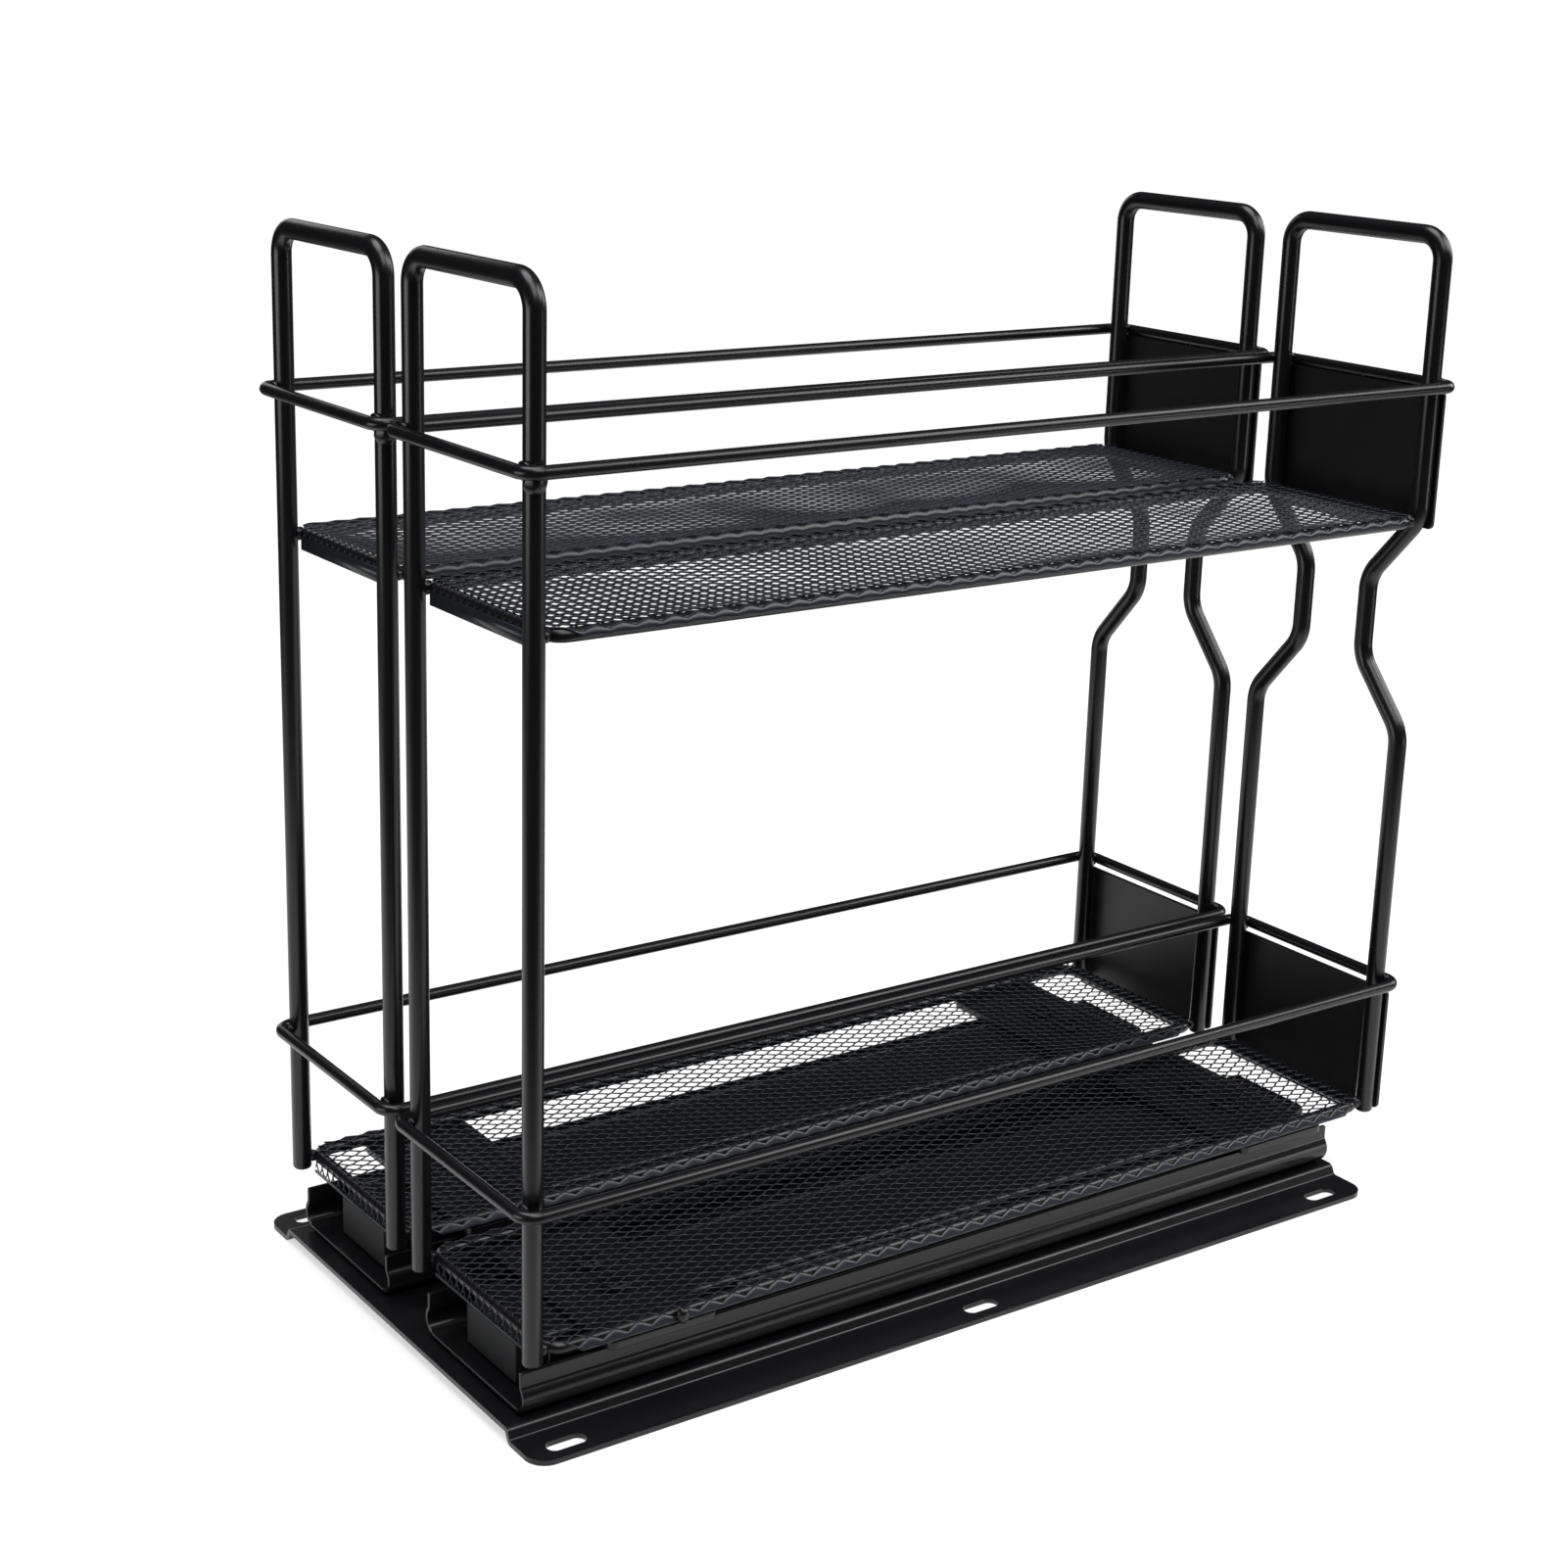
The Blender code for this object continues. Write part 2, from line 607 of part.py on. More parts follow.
def make_rear_stop(rack, centre_y, parts, rubber):
    """The block in the rear end of the outer member that the moving members close against."""
    low = SLIDE_BOTTOM_Z + OUTER_SHEET + GAP
    high = SLIDE_TOP_Z - STOP_TOP_DROP
    bpy.ops.mesh.primitive_cube_add(size=1)
    block = bpy.context.object
    block.data.transform(Matrix.Diagonal((STOP_LENGTH, STOP_WIDTH, high - low, 1)))
    block.location = (SLIDE_REAR_X + STOP_REAR_INSET + STOP_LENGTH / 2, centre_y, (low + high) / 2)
    edge = block.modifiers.new("soft edges", "BEVEL")
    edge.width = STOP_EDGE
    edge.segments = 2
    keep(block, rack + "_rear_stop", rubber, None, parts)


def make_strap(name, centre_x, centre_y, parts, parent, steel):
    """A flat strap across the rack, with two rivet holes."""
    half_width = FRAME_HALF_WIDTH + FRAME_ROD / 2
    outline = rounded_rectangle(
        -STRAP_LENGTH / 2, STRAP_LENGTH / 2, -half_width, half_width, STRAP_CORNER_RADIUS, BEND_STEPS
    )
    holes = [
        circle(0, side * STRAP_RIVET_SPACING / 2, STRAP_RIVET_SHANK / 2 + GAP, ROUND_STEPS) for side in (-1, 1)
    ]
    strap = flat_shape([outline] + holes, STRAP_THICKNESS)
    strap.location = (centre_x, centre_y, (STRAP_BOTTOM_Z + STRAP_TOP_Z) / 2)
    keep(strap, name, steel, parent, parts)


def make_strap_rivets(rack, centre_y, parts, parent, steel):
    """The rivets through straps and inner member, two in each strap."""
    shank = STRAP_RIVET_SHANK / 2
    head = STRAP_RIVET_HEAD / 2
    tail = STRAP_RIVET_TAIL / 2
    head_bottom = STRAP_THICKNESS + GAP
    head_top = head_bottom + STRAP_RIVET_HEAD_HEIGHT
    tail_top = -GAP - INNER_SHEET - GAP
    profile = [
        (0, head_top),
        (head * STRAP_RIVET_CROWN, head_top),
        (head, head_bottom),
        (shank, head_bottom),
        (shank, tail_top),
        (tail, tail_top),
        (tail, tail_top - STRAP_RIVET_TAIL_HEIGHT),
        (0, tail_top - STRAP_RIVET_TAIL_HEIGHT),
    ]
    places = [
        (centre_x, centre_y + side * STRAP_RIVET_SPACING / 2, STRAP_BOTTOM_Z)
        for centre_x in STRAP_CENTRES_X
        for side in (-1, 1)
    ]
    for number, place in enumerate(places, start=1):
        rivet = turned_piece(profile, place, ROUND_STEPS)
        keep(rivet, rack + "_strap_rivet_" + str(number), steel, parent, parts)


def make_rear_loop(rack, centre_y, parts, parent, steel):
    """The plain loop at the back: two straight legs and the bar that joins them at the top."""
    near = centre_y - RACK_WIDTH / 2
    far = centre_y + RACK_WIDTH / 2
    corners = [
        Vector((REAR_LEG_X, near, LEG_FOOT_Z)),
        Vector((REAR_LEG_X, near, HANDLE_Z)),
        Vector((REAR_LEG_X, far, HANDLE_Z)),
        Vector((REAR_LEG_X, far, LEG_FOOT_Z)),
    ]
    points = rounded_path(corners, LOOP_CORNER_RADIUS, CORNER_STEPS, False)
    keep(wire(points, LEG_ROD, ROD_SIDES_RESOLUTION, False), rack + "_rear_loop", steel, parent, parts)


def make_front_loop(rack, centre_y, parts, parent, steel):
    """The loop at the front, whose legs draw in to a neck between the baskets, like a bottle's outline."""
    neck_top = UPPER_FRAME_Z - NECK_TOP_DROP
    neck_bottom = neck_top - NECK_LENGTH
    shoulder = neck_bottom - SHOULDER_DROP
    leg = [
        (RACK_WIDTH / 2, LEG_FOOT_Z),
        (RACK_WIDTH / 2, shoulder),
        (RACK_WIDTH / 2 - NECK_INSET, neck_bottom),
        (RACK_WIDTH / 2 - NECK_INSET, neck_top),
        (RACK_WIDTH / 2, UPPER_FRAME_Z),
    ]
    near_leg = [Vector((FRONT_LEG_X, centre_y - y, z)) for y, z in leg]
    far_leg = [Vector((FRONT_LEG_X, centre_y + y, z)) for y, z in reversed(leg)]
    bar_near = Vector((FRONT_LEG_X, centre_y - RACK_WIDTH / 2, HANDLE_Z))
    bar_far = Vector((FRONT_LEG_X, centre_y + RACK_WIDTH / 2, HANDLE_Z))
    middle = Vector((FRONT_LEG_X, centre_y, HANDLE_Z))
    near_half = rounded_path(near_leg + [near_leg[-1] + Vector((0, 0, GAP))], NECK_BEND_RADIUS, BEND_STEPS, False)
    far_half = rounded_path([far_leg[0] + Vector((0, 0, GAP))] + far_leg, NECK_BEND_RADIUS, BEND_STEPS, False)
    top = rounded_path([near_half[-1], bar_near, middle], LOOP_CORNER_RADIUS, CORNER_STEPS, False)
    top += rounded_path([middle, bar_far, far_half[0]], LOOP_CORNER_RADIUS, CORNER_STEPS, False)[1:]
    points = near_half[:-1] + top[1:-1] + far_half[1:]
    keep(wire(points, LEG_ROD, ROD_SIDES_RESOLUTION, False), rack + "_front_loop", steel, parent, parts)


def make_closed_wire(name, rear_x, front_x, centre_y, half_width, height, rod, radius, parts, parent, steel):
    """A level rectangle of wire with rounded corners, used for guard rings and shelf frames."""
    corners = [
        Vector((rear_x, centre_y - half_width, height)),
        Vector((front_x, centre_y - half_width, height)),
        Vector((front_x, centre_y + half_width, height)),
        Vector((rear_x, centre_y + half_width, height)),
    ]
    points = rounded_path(corners, radius, CORNER_STEPS, True)
    keep(wire(points, rod, THIN_ROD_RESOLUTION, True), name, steel, parent, parts)


def make_shelf_net(name, centre_y, frame_z, parts, parent, steel):
    """A shelf of flat net on its frame: rows of diamonds, every other row shifted by half a diamond."""
    low_x = FRAME_REAR_X - FRAME_ROD / 2
    high_x = FRAME_FRONT_X + FRAME_ROD / 2
    half_width = FRAME_HALF_WIDTH + FRAME_ROD / 2
    outline = rounded_rectangle(
        low_x, high_x, -half_width, half_width, FRAME_CORNER_RADIUS + FRAME_ROD / 2, BEND_STEPS
    )
    pitch_x = (high_x - low_x - 2 * NET_BORDER) / NET_GAPS_LONG
    pitch_y = (2 * half_width - 2 * NET_BORDER) / NET_GAPS_ACROSS
    side_distance = pitch_x * pitch_y / 2 / math.hypot(pitch_x, pitch_y)
    opening = (side_distance - NET_STRAND / 2) / side_distance
    diamonds = []
    for shift in (0, 1):
        for along in range(NET_GAPS_LONG - shift):
            for across in range(NET_GAPS_ACROSS - shift):
                x = low_x + NET_BORDER + (along + (1 + shift) / 2) * pitch_x
                y = -half_width + NET_BORDER + (across + (1 + shift) / 2) * pitch_y
                diamonds.append([
                    Vector((x - opening * pitch_x / 2, y, 0)),
                    Vector((x, y - opening * pitch_y / 2, 0)),
                    Vector((x + opening * pitch_x / 2, y, 0)),
                    Vector((x, y + opening * pitch_y / 2, 0)),
                ])
    net = flat_shape([outline] + diamonds, NET_THICKNESS)
    net.location = (0, centre_y, frame_z + FRAME_ROD / 2 + GAP + NET_THICKNESS / 2)
    keep(net, name, steel, parent, parts)


def make_panel(name, centre_y, low_z, high_z, parts, parent, steel):
    """A closed front panel, upright, on the front of the front legs."""
    half_width = RACK_WIDTH / 2 + PANEL_SIDE_OVERLAP
    outline = rounded_rectangle(
        -half_width, half_width, low_z, high_z, PANEL_CORNER_RADIUS, BEND_STEPS
    )
    panel = flat_shape([outline], PANEL_SHEET)
    panel.rotation_euler = (math.pi / 2, 0, math.pi / 2)
    panel.location = (FRONT_LEG_X + LEG_ROD / 2 + GAP + PANEL_SHEET / 2, centre_y, 0)
    keep(panel, name, steel, parent, parts)


def make_mover(name, centre_y, parts):
    """An empty on the slide's axis, at the rear end of the moving members."""
    mover = bpy.data.objects.new(name, None)
    mover.location = (MOVING_REAR_X, centre_y, SLIDE_BOTTOM_Z)
    parts.objects.link(mover)
    return mover


def make_rack(rack, centre_y, parts, cutters, black, steel, rubber):
    """One rack with its slide."""
    carriage = make_mover(rack + "_carriage", centre_y, parts)
    middle = make_mover(rack + "_middle", centre_y, parts)
    outer_cage = make_mover(rack + "_outer_cage", centre_y, parts)
    inner_cage = make_mover(rack + "_inner_cage", centre_y, parts)
    outer_row = {
        "offset": OUTER_ROW_OFFSET,
        "height": OUTER_ROW_HEIGHT,
        "ball": OUTER_BALL,
        "web": OUTER_SHEET + GAP + CAGE_SHEET / 2,
    }
    inner_row = {
        "offset": INNER_ROW_OFFSET,
        "height": INNER_ROW_HEIGHT,
        "ball": INNER_BALL,
        "web": INNER_CAGE_WEB_HEIGHT,
    }
    make_outer_member(rack, centre_y, parts, cutters, black)
    make_rail_rivets(rack, centre_y, parts, steel)
    make_rear_stop(rack, centre_y, parts, rubber)
    make_ball_cage(rack + "_outer_ball_cage", centre_y, outer_row, parts, cutters, outer_cage, steel)
    make_middle_member(rack, centre_y, parts, middle, black)
    make_ball_cage(rack + "_inner_ball_cage", centre_y, inner_row, parts, cutters, inner_cage, steel)
    make_inner_member(rack, centre_y, parts, cutters, carriage, black)
    make_strap(rack + "_rear_strap", STRAP_CENTRES_X[0], centre_y, parts, carriage, black)
    make_strap(rack + "_front_strap", STRAP_CENTRES_X[1], centre_y, parts, carriage, black)
    make_strap_rivets(rack, centre_y, parts, carriage, steel)
    make_rear_loop(rack, centre_y, parts, carriage, black)
    make_front_loop(rack, centre_y, parts, carriage, black)
    for level, frame_z in (("lower", LOWER_FRAME_Z), ("upper", UPPER_FRAME_Z)):
        ring_z = frame_z + GUARD_RISE
        make_closed_wire(
            rack + "_" + level + "_ring", REAR_LEG_X - RING_OFFSET, FRONT_LEG_X + RING_OFFSET, centre_y,
            RACK_WIDTH / 2 + RING_OFFSET, ring_z, RING_ROD, RING_CORNER_RADIUS, parts, carriage, black,
        )
        make_closed_wire(
            rack + "_" + level + "_frame", FRAME_REAR_X, FRAME_FRONT_X, centre_y,
            FRAME_HALF_WIDTH, frame_z, FRAME_ROD, FRAME_CORNER_RADIUS, parts, carriage, black,
        )
        make_shelf_net(rack + "_" + level + "_mesh", centre_y, frame_z, parts, carriage, black)
        make_panel(
            rack + "_" + level + "_panel", centre_y, frame_z - PANEL_BOTTOM_DROP,
            ring_z - RING_ROD / 2 - GAP, parts, carriage, black,
        )


def main():
    parts, cutters = start_scene()
    black = make_material("black powder coat", (0.012, 0.012, 0.014), 0.38, 0.0)
    steel = make_material("zinc plated steel", (0.42, 0.43, 0.45), 0.35, 1.0)
    rubber = make_material("grey moulded plastic", (0.07, 0.07, 0.075), 0.5, 0.0)
    make_base_plate(parts, cutters, black)
    for rack, centre_y in RACK_CENTRES.items():
        make_rack(rack, centre_y, parts, cutters, black, steel, rubber)


main()
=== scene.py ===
"""Looks of the pull-out spice rack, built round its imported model.

Metres, +Z up, floor at Z = 0. +X is the front, to which the two racks pull out on their slides.
Wires, sheets and shelves are mild steel with a satin black powder coat. Rail rivets and ball cages are
zinc-plated steel, the strap rivets have a black passivate, the balls are polished steel, and the stop
blocks are near-black moulded acetal.
"""
import math

import bmesh
import bpy
from mathutils import Matrix, Vector, noise


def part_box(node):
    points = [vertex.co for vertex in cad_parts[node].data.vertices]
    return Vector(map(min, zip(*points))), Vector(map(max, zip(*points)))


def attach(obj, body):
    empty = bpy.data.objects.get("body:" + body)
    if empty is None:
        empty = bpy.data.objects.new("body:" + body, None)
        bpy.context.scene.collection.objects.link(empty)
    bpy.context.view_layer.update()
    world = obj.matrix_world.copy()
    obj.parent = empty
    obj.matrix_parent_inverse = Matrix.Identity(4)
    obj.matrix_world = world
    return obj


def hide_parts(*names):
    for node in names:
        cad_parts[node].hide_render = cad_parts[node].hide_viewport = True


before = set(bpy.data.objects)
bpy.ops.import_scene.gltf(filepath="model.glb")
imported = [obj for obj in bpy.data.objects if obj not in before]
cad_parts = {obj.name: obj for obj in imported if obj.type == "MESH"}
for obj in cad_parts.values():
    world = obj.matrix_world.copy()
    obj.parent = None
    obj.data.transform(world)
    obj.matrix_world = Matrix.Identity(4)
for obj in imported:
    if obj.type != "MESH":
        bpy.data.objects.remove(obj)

MM = 0.001
RACKS = ("near", "far")
LEVELS = ("lower", "upper")
UP = Vector((0, 0, 1))
ALONG = Vector((1, 0, 0))

# Edges over these angles stay sharp to the eye: on rods, on plates and rivets, and on folded sheet
ROD_SHARP = math.radians(60)
PLATE_SHARP = math.radians(40)
FOLD_SHARP = math.radians(35)
# Edges over this angle are cut edges, which the coat or the mould rounds
CUT_EDGE = math.radians(60)
# Points nearer than this are one point: in the net, at a cut through it, and where a plate's faces meet
NET_SNAP = 0.002 * MM
CUT_SNAP = 0.001 * MM
PLATE_SNAP = 0.01 * MM

# Bends of the wires, at their middle line
LOOP_BEND = 6.0 * MM
RING_BEND = 4.0 * MM
FRAME_BEND = 4.0 * MM
NECK_BEND = 10.0 * MM
# Bottle outline of the front legs, down from the upper shelf frame
NECK_INSET = 14.15 * MM
NECK_TOP_DROP = 16.4 * MM
NECK_LENGTH = 21.0 * MM
SHOULDER_DROP = 16.9 * MM
# Fineness of the wires: sides round a rod, and steps round a bend
ROD_SIDES = 20
BEND_STEPS = 12
# A cropped rod end, rounded by the coat: distance from the end and reach, as shares of the rod's radius
ROD_END = [(0.0, 0.72), (0.1, 0.88), (0.3, 1.0)]

# Expanded metal of the shelves
SHEET = 0.27 * MM
STRAND = 0.36 * MM
# Half of how much higher the far edge of a strand is than its near edge, on each shelf
STRAND_TILT = {
    "near_lower": -0.19 * MM, "near_upper": -0.26 * MM, "far_lower": -0.19 * MM, "far_upper": 0.12 * MM,
}
STRAND_CROWN = 0.03 * MM
DIAMOND_LENGTH = 6.07 * MM
BOND = 0.45 * MM
# Rows of diamonds from the middle of a shelf to its outermost row
ROWS_TO_FOLD = 18
FOLD_CLEARANCE = 0.02 * MM
# How far round the rod the outermost row of openings lies
FOLD_ROW_ANGLE = {"lower": math.radians(42), "upper": math.radians(15)}
# The margin on a long side turns down this far over the rod, and is straight from there
SIDE_FOLD = {"lower": math.radians(62), "upper": math.radians(84)}
SIDE_MARGIN = {"lower": 3.7 * MM, "upper": 3.0 * MM}
# At the short ends the net turns straight down, to a plain hem
END_FOLD = math.radians(90)
END_MARGIN = 5.9 * MM
HEM = {"lower": 0.7 * MM, "upper": 3.2 * MM}
HEM_END = 3.9 * MM
# The sheet sags a little between the rods, flat in the middle and not quite evenly
SAG = 1.0 * MM
SAG_ACROSS = 4
SAG_ALONG = 12
SAG_WAVE = 30 * MM
SAG_UNEVEN = 0.5
# The plain margins are split in this many bands, so that they can bend
MARGIN_BANDS = 4
# How far a corner cut starts from the rods' corner, along the short end and along the long side
CORNER_CUT = (3.0 * MM, 5.2 * MM)

# Slide profiles, in the slide's own section
OUTER_SHEET = 1.2 * MM
MEMBER_SHEET = 1.0 * MM
CAGE_SHEET = 0.5 * MM
GAP = 0.3 * MM
MEMBER_BEND = 1.0 * MM
CAGE_CHAMFER = 1.0 * MM
# The coat's rounding of the cut edges of each channel
OUTER_EDGE = 0.48 * MM
MEMBER_EDGE = 0.15 * MM
CAGE_EDGE = 0.08 * MM
OUTER_ROW_OFFSET = 19.0 * MM
OUTER_ROW_HEIGHT = 5.4 * MM
OUTER_BALL = 4.0 * MM
OUTER_LIP_HEIGHT = 10.3 * MM
# The wall of the outer member: a round belly beside the balls, then a hollow below an upright lip
BELLY_CENTRE = (18.6 * MM, 3.95 * MM)
BELLY_RADIUS = 3.3 * MM
BELLY_END = math.radians(38)
HOLLOW_RADIUS = 2.4 * MM
INNER_ROW_OFFSET = 14.2 * MM
INNER_ROW_HEIGHT = 9.2 * MM
INNER_BALL = 3.2 * MM
RACE_ANGLE = math.radians(35)
BALLS_PER_ROW = 4
BALL_PITCH = 17.5 * MM
BALL_SIDES = (20, 12)
FOLD_STEPS = 8

# Base plate
BASE_SHEET = 1.2 * MM
BASE_EDGE = 0.25 * MM
STEP_SLOPE = 1.3 * MM
BASE_BEND = 0.9 * MM
FOOT_BEND = 1.3 * MM
FLANGE_CORNER = 5.0 * MM
FLANGE_STEPS = 10
FLANGE_WIDTH = 12.3 * MM
SLOT_SIZE = (9.5 * MM, 4.0 * MM)
SLOT_REAR_INSET = 10.0 * MM
SLOT_FRONT_INSET = 12.1 * MM
SLOT_EDGE_DISTANCE = 4.8 * MM
SLOT_COUNT = 3
# The sheet is folded this much too large and cut to its outline, by cutters of this height and edge
TRIM_MARGIN = 10 * MM
CUTTER_HEIGHT = 20 * MM
CUTTER_EDGE = 0.001 * MM
# A slot's corner arcs are this much smaller than half its width, so that their ends stay apart
SLOT_END_FLAT = 0.02 * MM

# Straps and their rivets
STRAP_CORNER = 2.0 * MM
STRAP_STEPS = 8
HOLE_SIDES = 24
STRAP_EDGE = 0.3 * MM
STRAP_RIVET_SPACING = 12.0 * MM
STRAP_RIVET_SHANK = 3.8 * MM
STRAP_RIVET_HEAD_HEIGHT = 1.5 * MM
# The flat on the head, as a share of the head's radius, and radius and height of the tail
STRAP_RIVET_FLAT = 0.7
STRAP_RIVET_TAIL = (2.9 * MM, 1.2 * MM)
STRAP_RIVET_COUNT = 4

# Rivets of the outer members: diameter of the shank, and radius and height of the tail
RAIL_RIVET_SHANK = 4.0 * MM
RAIL_RIVET_TAIL = (3.1 * MM, 1.1 * MM)
RAIL_RIVET_COUNT = 3
RIVET_SIDES = 32

# Stop blocks: wall round the core, depth of the core, and rounding of the edges
STOP_WALL = 1.2 * MM
STOP_CORE = 4.0 * MM
STOP_EDGE = 0.5 * MM

# Front panels
PANEL_CORNER = 1.5 * MM
PANEL_STEPS = 6
PANEL_EDGE = 0.25 * MM
# Where a panel ends, from its solid's top edge: a slit shows under the lower guard ring, and a hairline
# under the upper one
PANEL_TOP = {"lower": -0.7 * MM, "upper": 0.5 * MM}

# Welds, as the half sizes of their beads along X, Y and Z
RING_BEAD = (0.9 * MM, 1.7 * MM, 0.9 * MM)
FRAME_BEAD = (1.5 * MM, 1.5 * MM, 1.5 * MM)
DROP_BEAD = (2.4 * MM, 2.4 * MM, 3.3 * MM)
TACK_BEAD = (0.7 * MM, 0.8 * MM, 1.2 * MM)
BUTT_BEAD = (1.6 * MM, 1.3 * MM, 2.0 * MM)
# A ring's beads lie outside each leg: beyond its radius, aside, and up by this share of the ring's radius
RING_BEAD_PLACE = (0.1 * MM, 0.4 * MM, 0.75)
# A frame's bead lies inside each leg: beyond its radius, and aside
FRAME_BEAD_PLACE = (0.2 * MM, 0.5 * MM)
# The drop from the middle of its leg and the underside of the ring
DROP_PLACE = (-0.8 * MM, -1.7 * MM, -0.3 * MM)
# The tack from the ring's middle line, inwards
TACK_INSET = 0.8 * MM
# Where the lower frames' wire ends meet, from the frame's rear, near side and middle height
BUTT_PLACE = (33.3 * MM, -1.0 * MM, 0.4 * MM)
# How much a bead swells and shrinks, how close its lumps are, and how far apart two beads' patterns are
LUMP_HEIGHT = 0.16
LUMP_SCALE = 1.6
SEED_STEP = 1.7

# The floor lies this far under the rack, so that their faces stay apart
FLOOR_DROP = 0.05 * MM
# Where the floor starts to fade into the white room, and where it has gone
FLOOR_FADE = (0.45, 1.3)

# The coat's gloss sees the paper glow white near the rack, a painted reflection of a lit table. The glow
# fades out between these distances from its middle, and nearer in front
TABLE_EDGE = (0.3, 0.55)
TABLE_FRONT = (-0.6, -0.8, 0.0)
TABLE_FRONT_EDGE = (0.12, 0.22)
# What the gloss and bounced light still see of the glow and of the paper's white beyond that
TABLE_REST = 0.05
# How much of the paper's white is its own glow, so that shadows on it stay soft. Near the rack the gloss sees
# this glow too, as painted reflection
PAPER_WHITE = 0.62

# Where the photograph was taken from: place, turns about Z, X and Z in radians, lens in mm, and shift
CAMERA_PLACE = (-0.37287, -0.48815, 0.29932)
CAMERA_TURNS = (-0.607827, 1.298731, 0.025678)
CAMERA_LENS = 60.527
CAMERA_SHIFT = (0.01853, -0.04392)

# The softboxes, aimed at this height: azimuth and elevation in degrees, distance, size and power
AIM_HEIGHT = 0.12
SOFTBOXES = {
    "softbox_key": (318, 40, 1.5, (0.85, 0.7), 10.2),
    "softbox_left": (178, 1, 0.8, (0.46, 0.26), 1.35),
    "softbox_right": (316, -4, 0.8, (0.2, 0.12), 0.3),
    "softbox_back": (84, 14, 1.5, (0.5, 0.9), 1.6),
    "softbox_front": (259, 54, 1.5, (0.9, 0.9), 10.0),
    "softbox_side": (352, 21, 1.5, (0.6, 0.6), 5.0),
}
# The wide light overhead: azimuth and elevation, spread and strength
SKY_PLACE = (140, 84)
SKY_SPREAD = math.radians(44)
SKY_POWER = 2.3
# What the dim room adds from all round
ROOM_LIGHT = 0.03

# Sockets of a colour mix: its two colours, and the colour that it gives
MIX_FIRST, MIX_SECOND, MIX_RESULT = 6, 7, 2


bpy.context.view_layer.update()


# Materials


def linear(hex_colour):
    """A colour written as sRGB hex, turned to linear light."""
    shares = [int(hex_colour[i:i + 2], 16) / 255 for i in (1, 3, 5)]
    return (*[s / 12.92 if s <= 0.04045 else ((s + 0.055) / 1.055) ** 2.4 for s in shares], 1)


def per_metre(size):
    """Scale of a pattern whose features are this far apart, in metres, on coordinates in metres."""
    return 1 / size


def add_node(owner, kind, settings, links):
    """Adds a node: settings are its options and its sockets' values, links its sockets fed by others.

    A socket goes by its name, or by its number where others share its name.
    """
    tree = owner.node_tree
    node = tree.nodes.new(kind)
    for name, value in settings.items():
        if isinstance(name, int) or name in node.inputs:
            node.inputs[name].default_value = value
        else:
            setattr(node, name, value)
    for name, source in links.items():
        tree.links.new(source, node.inputs[name])
    return node


def start_material(name):
    """A material with its shader ready, and the coordinates of the object in metres."""
    material = bpy.data.materials.new(name)
    material.use_nodes = True
    shader = material.node_tree.nodes["Principled BSDF"]
    places = add_node(material, "ShaderNodeTexCoord", {}, {}).outputs["Object"]
    return material, shader, places


def powder_coat(name, dark, light, roughness, spread, peel_size, peel_height):
    """Baked polyester powder on steel: near black, satin, with a faint orange peel in the gloss."""
    material, shader, places = start_material(name)
    link = material.node_tree.links.new
    # The powder lies thicker in some patches than in others
    cloud = add_node(
        material, "ShaderNodeTexNoise",
        {"Scale": per_metre(14 * MM), "Detail": 3.0, "Roughness": 0.55}, {"Vector": places},
    )
    tone = add_node(
        material, "ShaderNodeMix",
        {"data_type": "RGBA", MIX_FIRST: linear(dark), MIX_SECOND: linear(light)},
        {"Factor": cloud.outputs["Fac"]},
    )
    link(tone.outputs[MIX_RESULT], shader.inputs["Base Color"])
    satin = add_node(
        material, "ShaderNodeMapRange",
        {"To Min": roughness - spread, "To Max": roughness + spread}, {"Value": cloud.outputs["Fac"]},
    )
    link(satin.outputs["Result"], shader.inputs["Roughness"])
    peel = add_node(
        material, "ShaderNodeTexNoise",
        {"Scale": per_metre(peel_size), "Detail": 2.0, "Roughness": 0.5}, {"Vector": places},
    )
    relief = add_node(
        material, "ShaderNodeBump",
        {"Strength": 0.35, "Distance": peel_height}, {"Height": peel.outputs["Fac"]},
    )
    link(relief.outputs["Normal"], shader.inputs["Normal"])
    shader.inputs["IOR"].default_value = 1.45
    return material


def zinc_plate(name):
    """Electroplated zinc with a clear passivate: pale blue-grey metal with soft drawing marks."""
    material, shader, places = start_material(name)
    link = material.node_tree.links.new
    shader.inputs["Metallic"].default_value = 1.0
    grain = add_node(
        material, "ShaderNodeTexNoise",
        {"Scale": per_metre(1.5 * MM), "Detail": 4.0}, {"Vector": places},
    )
    tone = add_node(
        material, "ShaderNodeMix",
        {"data_type": "RGBA", MIX_FIRST: linear("#8d9196"), MIX_SECOND: linear("#b4b7ba")},
        {"Factor": grain.outputs["Fac"]},
    )
    link(tone.outputs[MIX_RESULT], shader.inputs["Base Color"])
    dull = add_node(
        material, "ShaderNodeMapRange", {"To Min": 0.28, "To Max": 0.46}, {"Value": grain.outputs["Fac"]},
    )
    link(dull.outputs["Result"], shader.inputs["Roughness"])
    relief = add_node(
        material, "ShaderNodeBump",
        {"Strength": 0.2, "Distance": 0.01 * MM}, {"Height": grain.outputs["Fac"]},
    )
    link(relief.outputs["Normal"], shader.inputs["Normal"])
    return material


